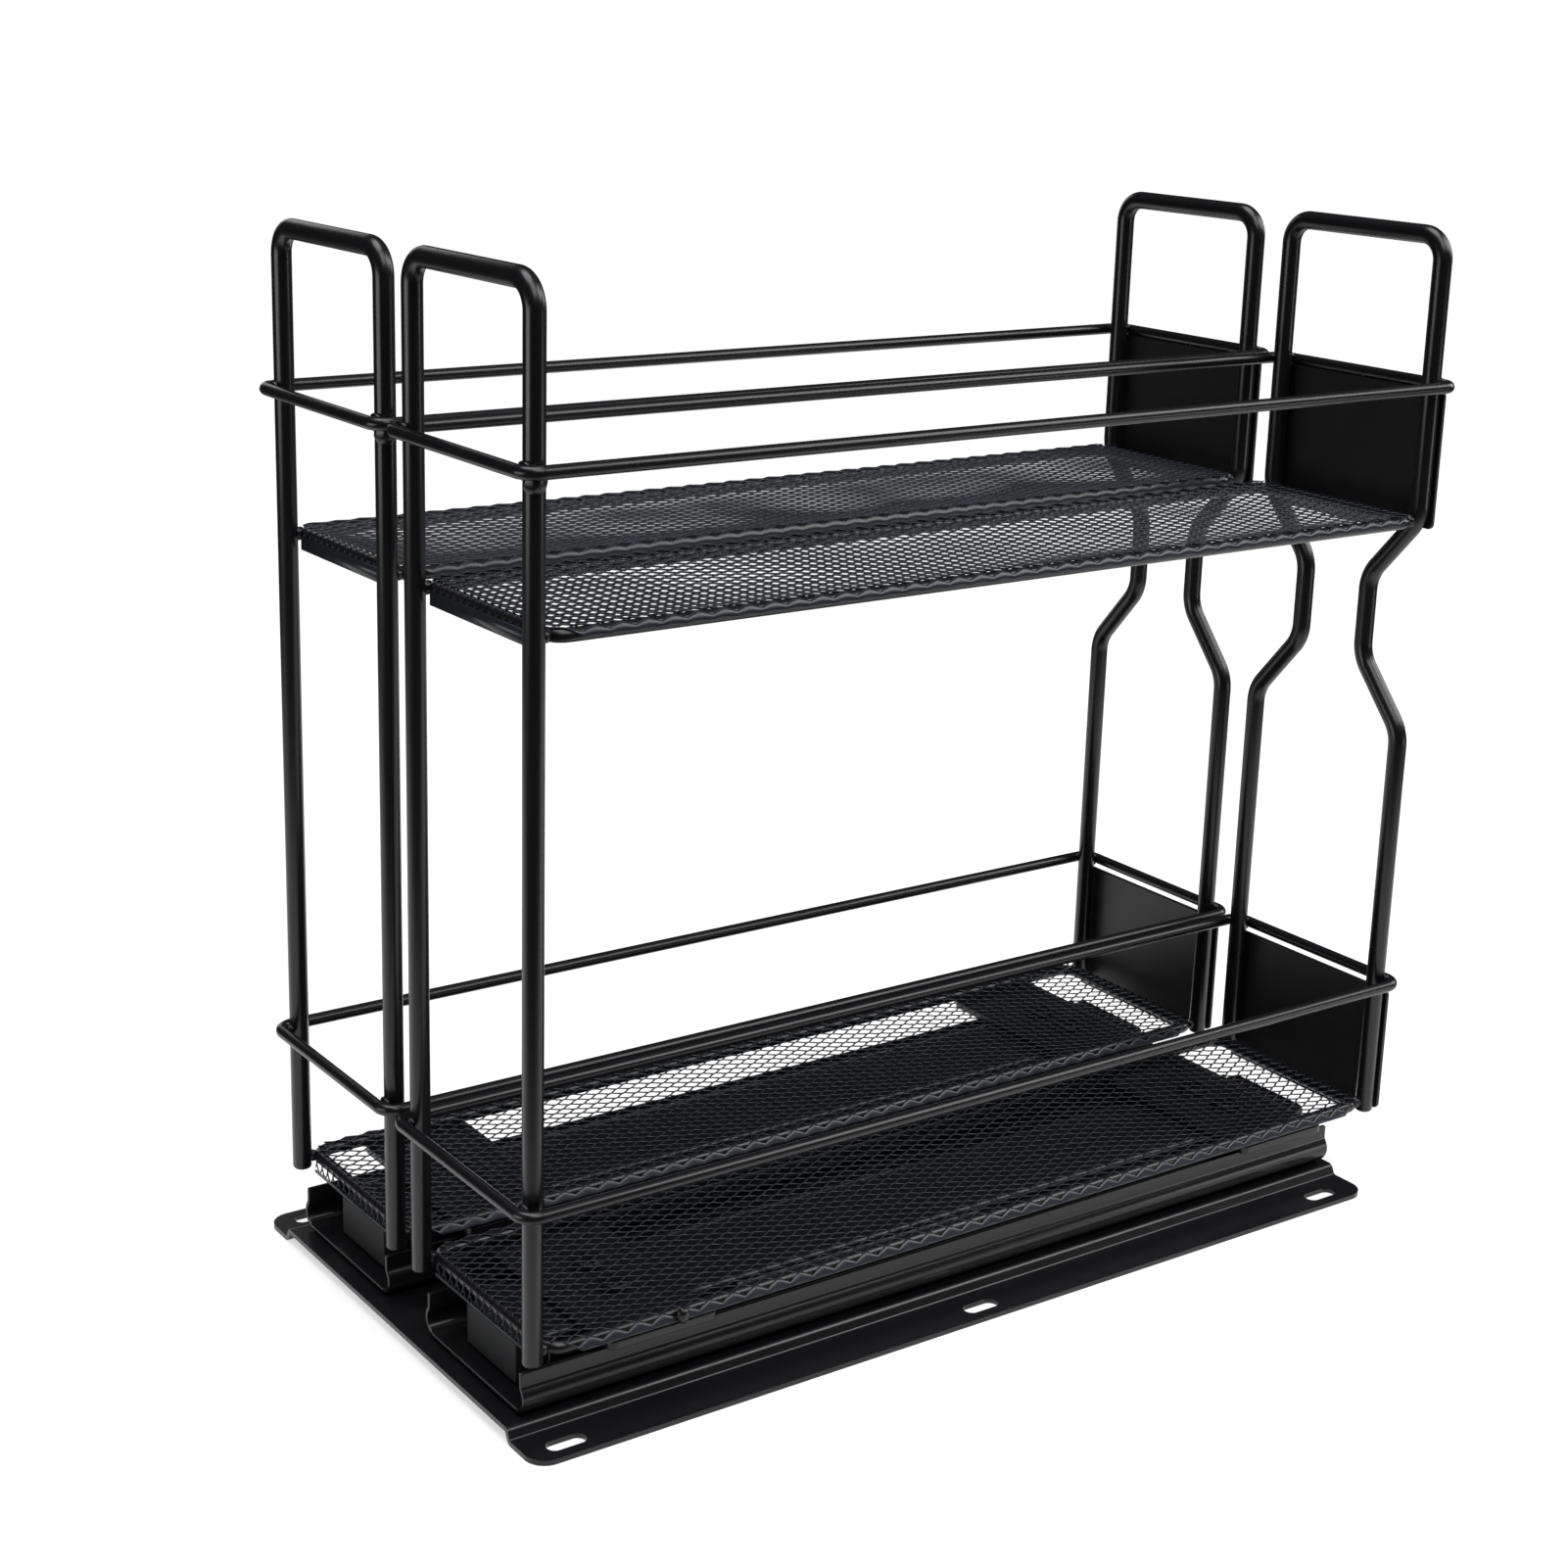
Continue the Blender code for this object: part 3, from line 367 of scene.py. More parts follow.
def black_zinc(name):
    """Electroplated zinc with a black passivate: a dark metal with a soft sheen."""
    material, shader, places = start_material(name)
    shader.inputs["Metallic"].default_value = 1.0
    shader.inputs["Base Color"].default_value = linear("#2b2c30")
    cloud = add_node(
        material, "ShaderNodeTexNoise", {"Scale": per_metre(2 * MM), "Detail": 3.0}, {"Vector": places},
    )
    sheen = add_node(
        material, "ShaderNodeMapRange", {"To Min": 0.34, "To Max": 0.48}, {"Value": cloud.outputs["Fac"]},
    )
    material.node_tree.links.new(sheen.outputs["Result"], shader.inputs["Roughness"])
    return material


def polished_steel(name):
    """Hardened and ground bearing steel: bright, almost a mirror."""
    material, shader, places = start_material(name)
    shader.inputs["Metallic"].default_value = 1.0
    shader.inputs["Base Color"].default_value = linear("#c9cacb")
    smear = add_node(
        material, "ShaderNodeTexNoise", {"Scale": per_metre(1 * MM), "Detail": 2.0}, {"Vector": places},
    )
    gloss = add_node(
        material, "ShaderNodeMapRange", {"To Min": 0.08, "To Max": 0.2}, {"Value": smear.outputs["Fac"]},
    )
    material.node_tree.links.new(gloss.outputs["Result"], shader.inputs["Roughness"])
    return material


def moulded_plastic(name):
    """Injection-moulded acetal from a spark-eroded mould: near black with a fine even grain."""
    material, shader, places = start_material(name)
    link = material.node_tree.links.new
    shader.inputs["IOR"].default_value = 1.48
    shader.inputs["Roughness"].default_value = 0.55
    # The mould's grain scatters most of the sheen
    shader.inputs["Specular IOR Level"].default_value = 0.25
    cloud = add_node(
        material, "ShaderNodeTexNoise", {"Scale": per_metre(5 * MM), "Detail": 2.0}, {"Vector": places},
    )
    tone = add_node(
        material, "ShaderNodeMix",
        {"data_type": "RGBA", MIX_FIRST: linear("#161719"), MIX_SECOND: linear("#1b1c1f")},
        {"Factor": cloud.outputs["Fac"]},
    )
    link(tone.outputs[MIX_RESULT], shader.inputs["Base Color"])
    grain = add_node(
        material, "ShaderNodeTexNoise", {"Scale": per_metre(0.25 * MM), "Detail": 1.0}, {"Vector": places},
    )
    relief = add_node(
        material, "ShaderNodeBump",
        {"Strength": 0.3, "Distance": 0.02 * MM}, {"Height": grain.outputs["Fac"]},
    )
    link(relief.outputs["Normal"], shader.inputs["Normal"])
    return material


WIRE_COAT = powder_coat(
    "satin_black_powder_coat_on_wire", "#0e0e10", "#131316", 0.27, 0.02, 1.1 * MM, 0.02 * MM
)
SHEET_COAT = powder_coat(
    "satin_black_powder_coat_on_sheet", "#0f0f12", "#141416", 0.24, 0.02, 0.9 * MM, 0.02 * MM
)
PANEL_COAT = powder_coat(
    "satin_black_powder_coat_on_panel", "#0e0e0f", "#131315", 0.4, 0.04, 0.9 * MM, 0.02 * MM
)
# The net's coat is lighter than the same coat on wires and sheets. That lightness is painted sheen, standing
# in for the light the strands catch. Its blue-grey tint is its own.
SHELF_COAT_WITH_PAINTED_SHEEN = powder_coat(
    "satin_black_powder_coat_on_expanded_metal", "#1b1e24", "#24282f", 0.3, 0.03, 0.7 * MM, 0.02 * MM
)
ZINC = zinc_plate("zinc_plated_rivet_steel")
BLACK_ZINC = black_zinc("black_passivated_zinc_on_strap_rivets")
BALL_STEEL = polished_steel("polished_bearing_steel")
STOP_PLASTIC = moulded_plastic("black_moulded_acetal")


# Making and placing pieces


def finish_piece(piece, name, body, replaced, materials):
    """Names a piece, gives it its finish, and lets it ride on its body in place of its CAD nodes."""
    piece.name = name
    piece.data.name = name
    piece.data.materials.clear()
    for material in materials:
        piece.data.materials.append(material)
    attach(piece, body)
    if replaced:
        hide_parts(*replaced)
    return piece


def put_in_scene(name, data):
    """An object in the scene for a mesh, a curve, a light or the camera."""
    made = bpy.data.objects.new(name, data)
    bpy.context.scene.collection.objects.link(made)
    return made


def new_piece(vertices, faces):
    """A piece from points and faces, shaded smooth."""
    mesh = bpy.data.meshes.new("piece")
    mesh.from_pydata(vertices, [], faces)
    mesh.update()
    mesh.shade_smooth()
    return put_in_scene("piece", mesh)


def piece_from(builder):
    """A piece from a finished builder, shaded smooth."""
    mesh = bpy.data.meshes.new("piece")
    builder.to_mesh(mesh)
    builder.free()
    mesh.shade_smooth()
    return put_in_scene("piece", mesh)


def evaluated_mesh(piece):
    """The mesh that a curve or a piece's modifiers give."""
    bpy.context.view_layer.update()
    evaluated = piece.evaluated_get(bpy.context.evaluated_depsgraph_get())
    return bpy.data.meshes.new_from_object(evaluated)


def apply_modifiers(piece):
    """Makes the piece's modifiers part of its mesh."""
    mesh = evaluated_mesh(piece)
    piece.modifiers.clear()
    piece.data = mesh
    return piece


def thicken(piece, thickness):
    """Gives a surface the thickness of its sheet, half to each side."""
    shell = piece.modifiers.new("sheet", "SOLIDIFY")
    shell.thickness = thickness
    shell.offset = 0
    return shell


def round_edges(piece, width, segments):
    """Rounds the cut edges of a piece, as its coat or its mould does."""
    rounding = piece.modifiers.new("edges", "BEVEL")
    rounding.width = width
    rounding.segments = segments
    rounding.limit_method = "ANGLE"
    rounding.angle_limit = CUT_EDGE


def shade_by_area(piece, sharp_angle):
    """Shades bends round and large faces flat: edges over the angle are sharp, and large faces lead."""
    piece.data.shade_smooth()
    piece.data.set_sharp_from_angle(angle=sharp_angle)
    weighted = piece.modifiers.new("normals", "WEIGHTED_NORMAL")
    weighted.keep_sharp = True
    return apply_modifiers(piece)


def bent_line(corners, radius, steps, closed):
    """Points of a rod's middle line through the corners, with a round bend at each."""
    count = len(corners)
    points = []
    for index, corner in enumerate(corners):
        if index in (0, count - 1) and not closed:
            points.append(corner)
            continue
        before = (corners[index - 1] - corner).normalized()
        after = (corners[(index + 1) % count] - corner).normalized()
        half_angle = before.angle(after) / 2
        reach = radius / math.tan(half_angle)
        centre = corner + (before + after).normalized() * (radius / math.sin(half_angle))
        start = corner + before * reach - centre
        end = corner + after * reach - centre
        turn = math.pi - 2 * half_angle
        for step in range(steps + 1):
            share = step / steps
            along = math.sin((1 - share) * turn) * start + math.sin(share * turn) * end
            points.append(centre + along / math.sin(turn))
    return points


def rod_rings(points, across, radius, closed):
    """Rings of points round a rod that lies in one plane, whose normal is across."""
    count = len(points)
    stations = []
    for index, point in enumerate(points):
        before = points[index - 1] if index > 0 or closed else None
        after = points[(index + 1) % count] if index < count - 1 or closed else None
        arriving = (point - before).normalized() if before is not None else (after - point).normalized()
        leaving = (after - point).normalized() if after is not None else arriving
        stations.append((point, (arriving + leaving).normalized(), radius))
    if not closed:
        first, along, _ = stations[0]
        last, onward, _ = stations[-1]
        head = [(first + along * (radius * depth), along, radius * width) for depth, width in ROD_END]
        tail = [(last - onward * (radius * depth), onward, radius * width) for depth, width in ROD_END[::-1]]
        stations = head + stations[1:-1] + tail
    rings = []
    for point, along, reach in stations:
        side = along.cross(across).normalized()
        rings.append([
            point + reach * (math.cos(turn) * across + math.sin(turn) * side)
            for turn in (2 * math.pi * number / ROD_SIDES for number in range(ROD_SIDES))
        ])
    return rings


def rod(points, across, diameter, closed):
    """A drawn steel rod bent along the points."""
    rings = rod_rings(points, across, diameter / 2, closed)
    vertices = [point for ring in rings for point in ring]
    faces = []
    spans = len(rings) if closed else len(rings) - 1
    for ring in range(spans):
        following = (ring + 1) % len(rings)
        for side in range(ROD_SIDES):
            beside = (side + 1) % ROD_SIDES
            faces.append((
                ring * ROD_SIDES + side, ring * ROD_SIDES + beside,
                following * ROD_SIDES + beside, following * ROD_SIDES + side,
            ))
    if not closed:
        faces.append(tuple(reversed(range(ROD_SIDES))))
        last = (len(rings) - 1) * ROD_SIDES
        faces.append(tuple(last + side for side in range(ROD_SIDES)))
    piece = new_piece(vertices, faces)
    piece.data.set_sharp_from_angle(angle=ROD_SHARP)
    return piece


def face_outwards(piece):
    """Turns all the faces of a closed piece outwards."""
    cleaner = bmesh.new()
    cleaner.from_mesh(piece.data)
    bmesh.ops.recalc_face_normals(cleaner, faces=cleaner.faces)
    cleaner.to_mesh(piece.data)
    cleaner.free()
    return piece


def finish_wire(piece, node, rack):
    """Coats a wire and lets it ride with its rack."""
    piece = face_outwards(piece)
    finish_piece(piece, node + "_wire", rack + "_rack", [node], [WIRE_COAT])


def level_ring(low, high, rod_radius, bend):
    """Middle line of a level rectangle of wire that fills a box."""
    height = (low.z + high.z) / 2
    corners = [
        Vector((low.x + rod_radius, low.y + rod_radius, height)),
        Vector((high.x - rod_radius, low.y + rod_radius, height)),
        Vector((high.x - rod_radius, high.y - rod_radius, height)),
        Vector((low.x + rod_radius, high.y - rod_radius, height)),
    ]
    return bent_line(corners, bend, BEND_STEPS, True)


def make_rear_loop(rack):
    """Two straight legs and the bar that joins them, bent from one rod."""
    node = rack + "_rear_loop"
    low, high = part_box(node)
    radius = (high.x - low.x) / 2
    middle_x = (low.x + high.x) / 2
    corners = [
        Vector((middle_x, low.y + radius, low.z)),
        Vector((middle_x, low.y + radius, high.z - radius)),
        Vector((middle_x, high.y - radius, high.z - radius)),
        Vector((middle_x, high.y - radius, low.z)),
    ]
    piece = rod(bent_line(corners, LOOP_BEND, BEND_STEPS, False), ALONG, 2 * radius, False)
    finish_wire(piece, node, rack)


def make_front_loop(rack):
    """The front legs draw in to a neck between the shelves, like the outline of a bottle."""
    node = rack + "_front_loop"
    low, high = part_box(node)
    radius = (high.x - low.x) / 2
    middle_x = (low.x + high.x) / 2
    middle_y = (low.y + high.y) / 2
    half_width = (high.y - low.y) / 2 - radius
    frame_low, frame_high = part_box(rack + "_upper_frame")
    frame_z = (frame_low.z + frame_high.z) / 2
    neck_top = frame_z - NECK_TOP_DROP
    neck_bottom = neck_top - NECK_LENGTH
    side = [
        (half_width, low.z),
        (half_width, neck_bottom - SHOULDER_DROP),
        (half_width - NECK_INSET, neck_bottom),
        (half_width - NECK_INSET, neck_top),
        (half_width, frame_z),
        (half_width, frame_z + GAP),
    ]
    near_side = [Vector((middle_x, middle_y - y, z)) for y, z in side]
    far_side = [Vector((middle_x, middle_y + y, z)) for y, z in reversed(side)]
    top_z = high.z - radius
    near_leg = bent_line(near_side, NECK_BEND, BEND_STEPS, False)
    far_leg = bent_line(far_side, NECK_BEND, BEND_STEPS, False)
    bar = bent_line(
        [near_leg[-1], Vector((middle_x, middle_y - half_width, top_z)),
         Vector((middle_x, middle_y + half_width, top_z)), far_leg[0]],
        LOOP_BEND, BEND_STEPS, False,
    )
    piece = rod(near_leg[:-1] + bar[1:-1] + far_leg[1:], ALONG, 2 * radius, False)
    finish_wire(piece, node, rack)


def make_level_wire(rack, node, bend):
    """A guard ring or a shelf frame, bent from one rod and butt-welded."""
    low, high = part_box(node)
    radius = (high.z - low.z) / 2
    piece = rod(level_ring(low, high, radius, bend), UP, 2 * radius, True)
    finish_wire(piece, node, rack)


# Expanded metal


def diamond_cell(centre_u, centre_v, half_pitch_v, tilt):
    """One opening of the expanded metal with half of each strand round it.

    Gives the six points of the strands' middle line, then the six points of the opening, each as
    (u, v, height): u along the rack, v across it, height off the sheet. A strand stands on edge a
    little, so it is higher on one side.
    """
    half_u = DIAMOND_LENGTH / 2
    bond = BOND / 2
    outline = [
        (-half_u + bond, 0), (-bond, -half_pitch_v), (bond, -half_pitch_v),
        (half_u - bond, 0), (bond, half_pitch_v), (-bond, half_pitch_v),
    ]
    run = half_u - 2 * bond
    slope = math.hypot(run, half_pitch_v)
    drop = STRAND / 2
    tip = drop * slope / half_pitch_v
    corner_shift = drop * (slope - run) / half_pitch_v
    opening = [
        (-half_u + bond + tip, 0, 0.0),
        (-bond + corner_shift, -half_pitch_v + drop, tilt),
        (bond - corner_shift, -half_pitch_v + drop, tilt),
        (half_u - bond - tip, 0, 0.0),
        (bond - corner_shift, half_pitch_v - drop, -tilt),
        (-bond + corner_shift, half_pitch_v - drop, -tilt),
    ]
    points = [(centre_u + u, centre_v + v, STRAND_CROWN) for u, v in outline]
    points += [(centre_u + u, centre_v + v, height) for u, v, height in opening]
    return points


def margin_line(half_columns, fold_row_v, half_pitch_v):
    """The zigzag line where the outermost openings end and the plain margin starts."""
    bond = BOND / 2
    half_u = DIAMOND_LENGTH / 2
    line = []
    for column in range(-half_columns, half_columns + 1):
        centre_u = column * DIAMOND_LENGTH
        line += [
            (centre_u - half_u + bond, fold_row_v), (centre_u - bond, fold_row_v + half_pitch_v),
            (centre_u + bond, fold_row_v + half_pitch_v), (centre_u + half_u - bond, fold_row_v),
        ]
    return line


def expanded_metal_blank(level, half_length, fold_v, fold_radius, tilt):
    """The flat sheet before folding: rows of diamonds, and a plain margin along each long edge."""
    fold_row_v = fold_v + fold_radius * FOLD_ROW_ANGLE[level]
    half_pitch_v = fold_row_v / ROWS_TO_FOLD
    half_columns = int(half_length / DIAMOND_LENGTH) + 2
    builder = bmesh.new()
    known = {}

    def corner(point):
        key = tuple(round(value / NET_SNAP) for value in point)
        if key not in known:
            known[key] = builder.verts.new(point)
        return known[key]

    for row in range(-ROWS_TO_FOLD, ROWS_TO_FOLD + 1):
        shift = 0.5 if row % 2 else 0.0
        for column in range(-half_columns, half_columns + 1):
            points = diamond_cell((column + shift) * DIAMOND_LENGTH, row * half_pitch_v, half_pitch_v, tilt)
            ring = [corner(point) for point in points]
            for side in range(6):
                beside = (side + 1) % 6
                builder.faces.new((ring[side], ring[beside], ring[6 + beside], ring[6 + side]))
    margin_v = fold_v + SIDE_MARGIN[level]
    line = margin_line(half_columns, fold_row_v, half_pitch_v)
    for direction in (-1, 1):
        for (u_a, v_a), (u_b, v_b) in zip(line, line[1:]):
            for band in range(MARGIN_BANDS):
                low_share, high_share = band / MARGIN_BANDS, (band + 1) / MARGIN_BANDS
                corners = [
                    (u_a, v_a + (margin_v - v_a) * low_share), (u_b, v_b + (margin_v - v_b) * low_share),
                    (u_b, v_b + (margin_v - v_b) * high_share), (u_a, v_a + (margin_v - v_a) * high_share),
                ]
                ring = [corner((u, direction * v, STRAND_CROWN)) for u, v in corners]
                builder.faces.new(ring if direction > 0 else list(reversed(ring)))
    return builder


def crop_blank(builder, level, half_length, fold_v, fold_radius):
    """Shears the blank to length and takes its corners off, so that it can be folded on four sides."""
    end_u = half_length + END_MARGIN - HEM[level]
    cuts = []
    turned_down = fold_radius * math.pi / 2
    for along in (-1, 1):
        cuts.append((Vector((along * end_u, 0, 0)), Vector((along, 0, 0))))
        for across in (-1, 1):
            corner_end = Vector((along * (half_length + turned_down), across * (fold_v - CORNER_CUT[0]), 0))
            corner_side = Vector((along * (half_length - CORNER_CUT[1]), across * (fold_v + turned_down), 0))
            line = corner_side - corner_end
            outward = Vector((along * abs(line.y), across * abs(line.x), 0)).normalized()
            cuts.append((corner_end, outward))
    for place, outward in cuts:
        bmesh.ops.bisect_plane(
            builder, geom=list(builder.verts) + list(builder.edges) + list(builder.faces),
            dist=CUT_SNAP, plane_co=place, plane_no=outward, clear_outer=True,
        )
    for along in (-1, 1):
        add_hem(builder, along * end_u, along * HEM[level], fold_v - HEM_END)
    return builder


def add_hem(builder, start_u, width, half_v):
    """A plain strip across the cut ends of the net."""
    corners = [(start_u, -half_v), (start_u + width, -half_v), (start_u + width, half_v), (start_u, half_v)]
    if width < 0:
        corners.reverse()
    builder.faces.new([builder.verts.new((u, v, STRAND_CROWN)) for u, v in corners])


def fold(distance, straight, radius, full_turn):
    """Place, drop and tilt across one edge: a flat run, a turn over the frame rod, and a flat flap."""
    side = 1.0 if distance >= 0 else -1.0
    over = abs(distance) - straight
    if over <= 0:
        return distance, 0.0, 0.0
    turn = min(over / radius, full_turn)
    flap = over - radius * turn
    place = straight + radius * math.sin(turn) + flap * math.cos(turn)
    return side * place, radius * (math.cos(turn) - 1) - flap * math.sin(turn), side * turn


def make_shelf(rack, level):
    """A shelf of expanded metal, laid on its frame and folded over the frame rods."""
    node = rack + "_" + level + "_mesh"
    low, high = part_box(rack + "_" + level + "_frame")
    rod_radius = (high.z - low.z) / 2
    centre = (low + high) / 2
    half_length = (high.x - low.x) / 2 - rod_radius
    fold_v = (high.y - low.y) / 2 - rod_radius
    fold_radius = rod_radius + FOLD_CLEARANCE + SHEET / 2
    tilt = STRAND_TILT[rack + "_" + level]
    builder = expanded_metal_blank(level, half_length, fold_v, fold_radius, tilt)
    crop_blank(builder, level, half_length, fold_v, fold_radius)
    for vertex in builder.verts:
        u, v, height = vertex.co
        x, x_drop, x_turn = fold(u, half_length, fold_radius, END_FOLD)
        y, y_drop, y_turn = fold(v, fold_v, fold_radius, SIDE_FOLD[level])
        normal = Vector((
            math.sin(x_turn), math.sin(y_turn), math.cos(x_turn) * math.cos(y_turn)
        )).normalized()
        place = Vector((x, y, fold_radius + x_drop + y_drop))
        across = 1 - min(abs(v) / fold_v, 1) ** SAG_ACROSS
        along = 1 - min(abs(u) / half_length, 1) ** SAG_ALONG
        wave = 1 + SAG_UNEVEN * noise.noise(Vector((u, v, centre.y + centre.z)) / SAG_WAVE)
        vertex.co = centre + place + normal * height - UP * (SAG * across * along * wave)
    piece = piece_from(builder)
    thicken(piece, SHEET)
    apply_modifiers(piece)
    piece.data.shade_smooth()
    name = rack + "_" + level + "_expanded_metal"
    finish_piece(piece, name, rack + "_rack", [node], [SHELF_COAT_WITH_PAINTED_SHEEN])


# Welds


def add_weld(builder, place, size, seed):
    """One small bead of weld, uneven like a real one."""
    made = bmesh.ops.create_icosphere(builder, subdivisions=3, radius=1.0)
    for vertex in made["verts"]:
        direction = vertex.co.normalized()
        lump = 1 + LUMP_HEIGHT * noise.noise(direction * LUMP_SCALE + Vector((seed, 0, 0)))
        vertex.co = Vector((
            place.x + direction.x * size[0] * lump,
            place.y + direction.y * size[1] * lump,
            place.z + direction.z * size[2] * lump,
        ))


def make_welds(rack):
    """Weld beads where the wires of a rack cross, all on one rack."""
    builder = bmesh.new()
    seed = 1.0
    for loop in ("_rear_loop", "_front_loop"):
        loop_low, loop_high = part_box(rack + loop)
        leg_radius = (loop_high.x - loop_low.x) / 2
        leg_x = (loop_low.x + loop_high.x) / 2
        outward = -1 if leg_x < 0 else 1
        for leg_y, across in ((loop_low.y + leg_radius, -1), (loop_high.y - leg_radius, 1)):
            for level in LEVELS:
                ring_low, ring_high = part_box(rack + "_" + level + "_ring")
                ring_z = (ring_low.z + ring_high.z) / 2
                ring_radius = (ring_high.z - ring_low.z) / 2
                beyond, aside, rise = RING_BEAD_PLACE
                for height in (-1, 1):
                    seed += SEED_STEP
                    place = Vector((
                        leg_x + outward * (leg_radius + beyond),
                        leg_y + across * aside,
                        ring_z + height * ring_radius * rise,
                    ))
                    add_weld(builder, place, RING_BEAD, seed)
                frame_low, frame_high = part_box(rack + "_" + level + "_frame")
                beyond, aside = FRAME_BEAD_PLACE
                seed += SEED_STEP
                place = Vector((
                    leg_x - outward * (leg_radius + beyond),
                    leg_y - across * aside,
                    (frame_low.z + frame_high.z) / 2,
                ))
                add_weld(builder, place, FRAME_BEAD, seed)
    leg_low, leg_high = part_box(rack + "_rear_loop")
    ring_low, ring_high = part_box(rack + "_upper_ring")
    frame_low, frame_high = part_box(rack + "_lower_frame")
    leg_radius = (leg_high.x - leg_low.x) / 2
    # A drop that ran down the near rear leg from the ring
    leg = Vector((leg_low.x + leg_radius, leg_low.y + leg_radius, ring_low.z))
    add_weld(builder, leg + Vector(DROP_PLACE), DROP_BEAD, seed + 1)
    # The tack between upper ring and panel, and the butt weld of the lower frame
    ring_x = ring_high.x - (ring_high.z - ring_low.z) / 2
    tack = Vector((ring_x - TACK_INSET, (ring_low.y + ring_high.y) / 2, ring_low.z))
    add_weld(builder, tack, TACK_BEAD, seed + 2)
    frame_side = Vector((frame_low.x, frame_low.y, (frame_low.z + frame_high.z) / 2))
    add_weld(builder, frame_side + Vector(BUTT_PLACE), BUTT_BEAD, seed + 3)
    finish_piece(piece_from(builder), rack + "_welds", rack + "_rack", [], [WIRE_COAT])


# Plates


def plate(outlines, thickness, edge):
    """A flat blank with its holes, whose cut edges the coat has rounded."""
    curve = bpy.data.curves.new("plate", "CURVE")
    curve.dimensions = "2D"
    curve.fill_mode = "BOTH"
    curve.extrude = thickness / 2 - edge
    curve.bevel_depth = edge
    curve.bevel_resolution = 2
    curve.offset = -edge
    for outline in outlines:
        spline = curve.splines.new("POLY")
        spline.points.add(len(outline) - 1)
        for place, point in zip(spline.points, outline):
            place.co = (point[0], point[1], 0, 1)
        spline.use_cyclic_u = True
    pattern = put_in_scene("plate", curve)
    cleaner = bmesh.new()
    cleaner.from_mesh(evaluated_mesh(pattern))
    bmesh.ops.remove_doubles(cleaner, verts=cleaner.verts, dist=PLATE_SNAP)
    bmesh.ops.recalc_face_normals(cleaner, faces=cleaner.faces)
    bpy.data.objects.remove(pattern, do_unlink=True)
    return shade_by_area(piece_from(cleaner), PLATE_SHARP)


def rounded_outline(low_x, high_x, low_y, high_y, radius, steps):
    """Points round a rectangle with rounded corners."""
    corners = [
        Vector((low_x, low_y, 0)), Vector((high_x, low_y, 0)),
        Vector((high_x, high_y, 0)), Vector((low_x, high_y, 0)),
    ]
    return bent_line(corners, radius, steps, True)


def round_outline(centre_x, centre_y, radius, steps):
    """Points round a circle."""
    return [
        (centre_x + radius * math.cos(2 * math.pi * step / steps),
         centre_y + radius * math.sin(2 * math.pi * step / steps))
        for step in range(steps)
    ]


def make_front_panel(rack, level):
    """A closed sheet panel, welded on the front legs."""
    node = rack + "_" + level + "_panel"
    low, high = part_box(node)
    outline = rounded_outline(low.y, high.y, low.z, high.z + PANEL_TOP[level], PANEL_CORNER, PANEL_STEPS)
    piece = plate([outline], high.x - low.x, PANEL_EDGE)
    stand = Matrix(((0, 0, 1, (low.x + high.x) / 2), (1, 0, 0, 0), (0, 1, 0, 0), (0, 0, 0, 1)))
    piece.data.transform(stand)
    finish_piece(piece, node + "_sheet", rack + "_rack", [node], [PANEL_COAT])


def make_strap(rack, end):
    """A flat strap between the inner slide member and the lower shelf frame."""
    node = rack + "_" + end + "_strap"
    low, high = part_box(node)
    centre = (low + high) / 2
    outline = rounded_outline(low.x, high.x, low.y, high.y, STRAP_CORNER, STRAP_STEPS)
    hole = STRAP_RIVET_SHANK / 2 + GAP
    holes = [
        round_outline(centre.x, centre.y + side * STRAP_RIVET_SPACING / 2, hole, HOLE_SIDES)
        for side in (-1, 1)
    ]
    piece = plate([outline] + holes, high.z - low.z, STRAP_EDGE)
    piece.data.transform(Matrix.Translation((0, 0, centre.z)))
    finish_piece(piece, node + "_flat_bar", rack + "_rack", [node], [SHEET_COAT])


# Folded slide members


def arc(centre_y, centre_z, radius, start, end, steps):
    """Section points along an arc, angles in radians from the +Y side."""
    return [
        (centre_y + radius * math.cos(start + (end - start) * step / steps),
         centre_z + radius * math.sin(start + (end - start) * step / steps))
        for step in range(steps + 1)
    ]


def strip_surface(section, rear_x, front_x):
    """The middle surface of a folded sheet, from the (y, z) points of its section."""
    vertices = [(x, y, z) for x in (rear_x, front_x) for y, z in section]
    count = len(section)
    return new_piece(vertices, [(i, i + 1, count + i + 1, count + i) for i in range(count - 1)])


def folded_strip(half, centre_y, base_z, rear_x, front_x, thickness, edge):
    """A strip folded to a section that mirrors about its middle, with its cut edges rounded."""
    section = [(-y, z) for y, z in reversed(half[1:])] + half
    piece = strip_surface([(centre_y + y, base_z + z) for y, z in section], rear_x, front_x)
    shell = thicken(piece, thickness)
    shell.use_even_offset = True
    shell.use_quality_normals = True
    round_edges(piece, edge, 2)
    apply_modifiers(piece)
    return shade_by_area(face_outwards(piece), FOLD_SHARP)


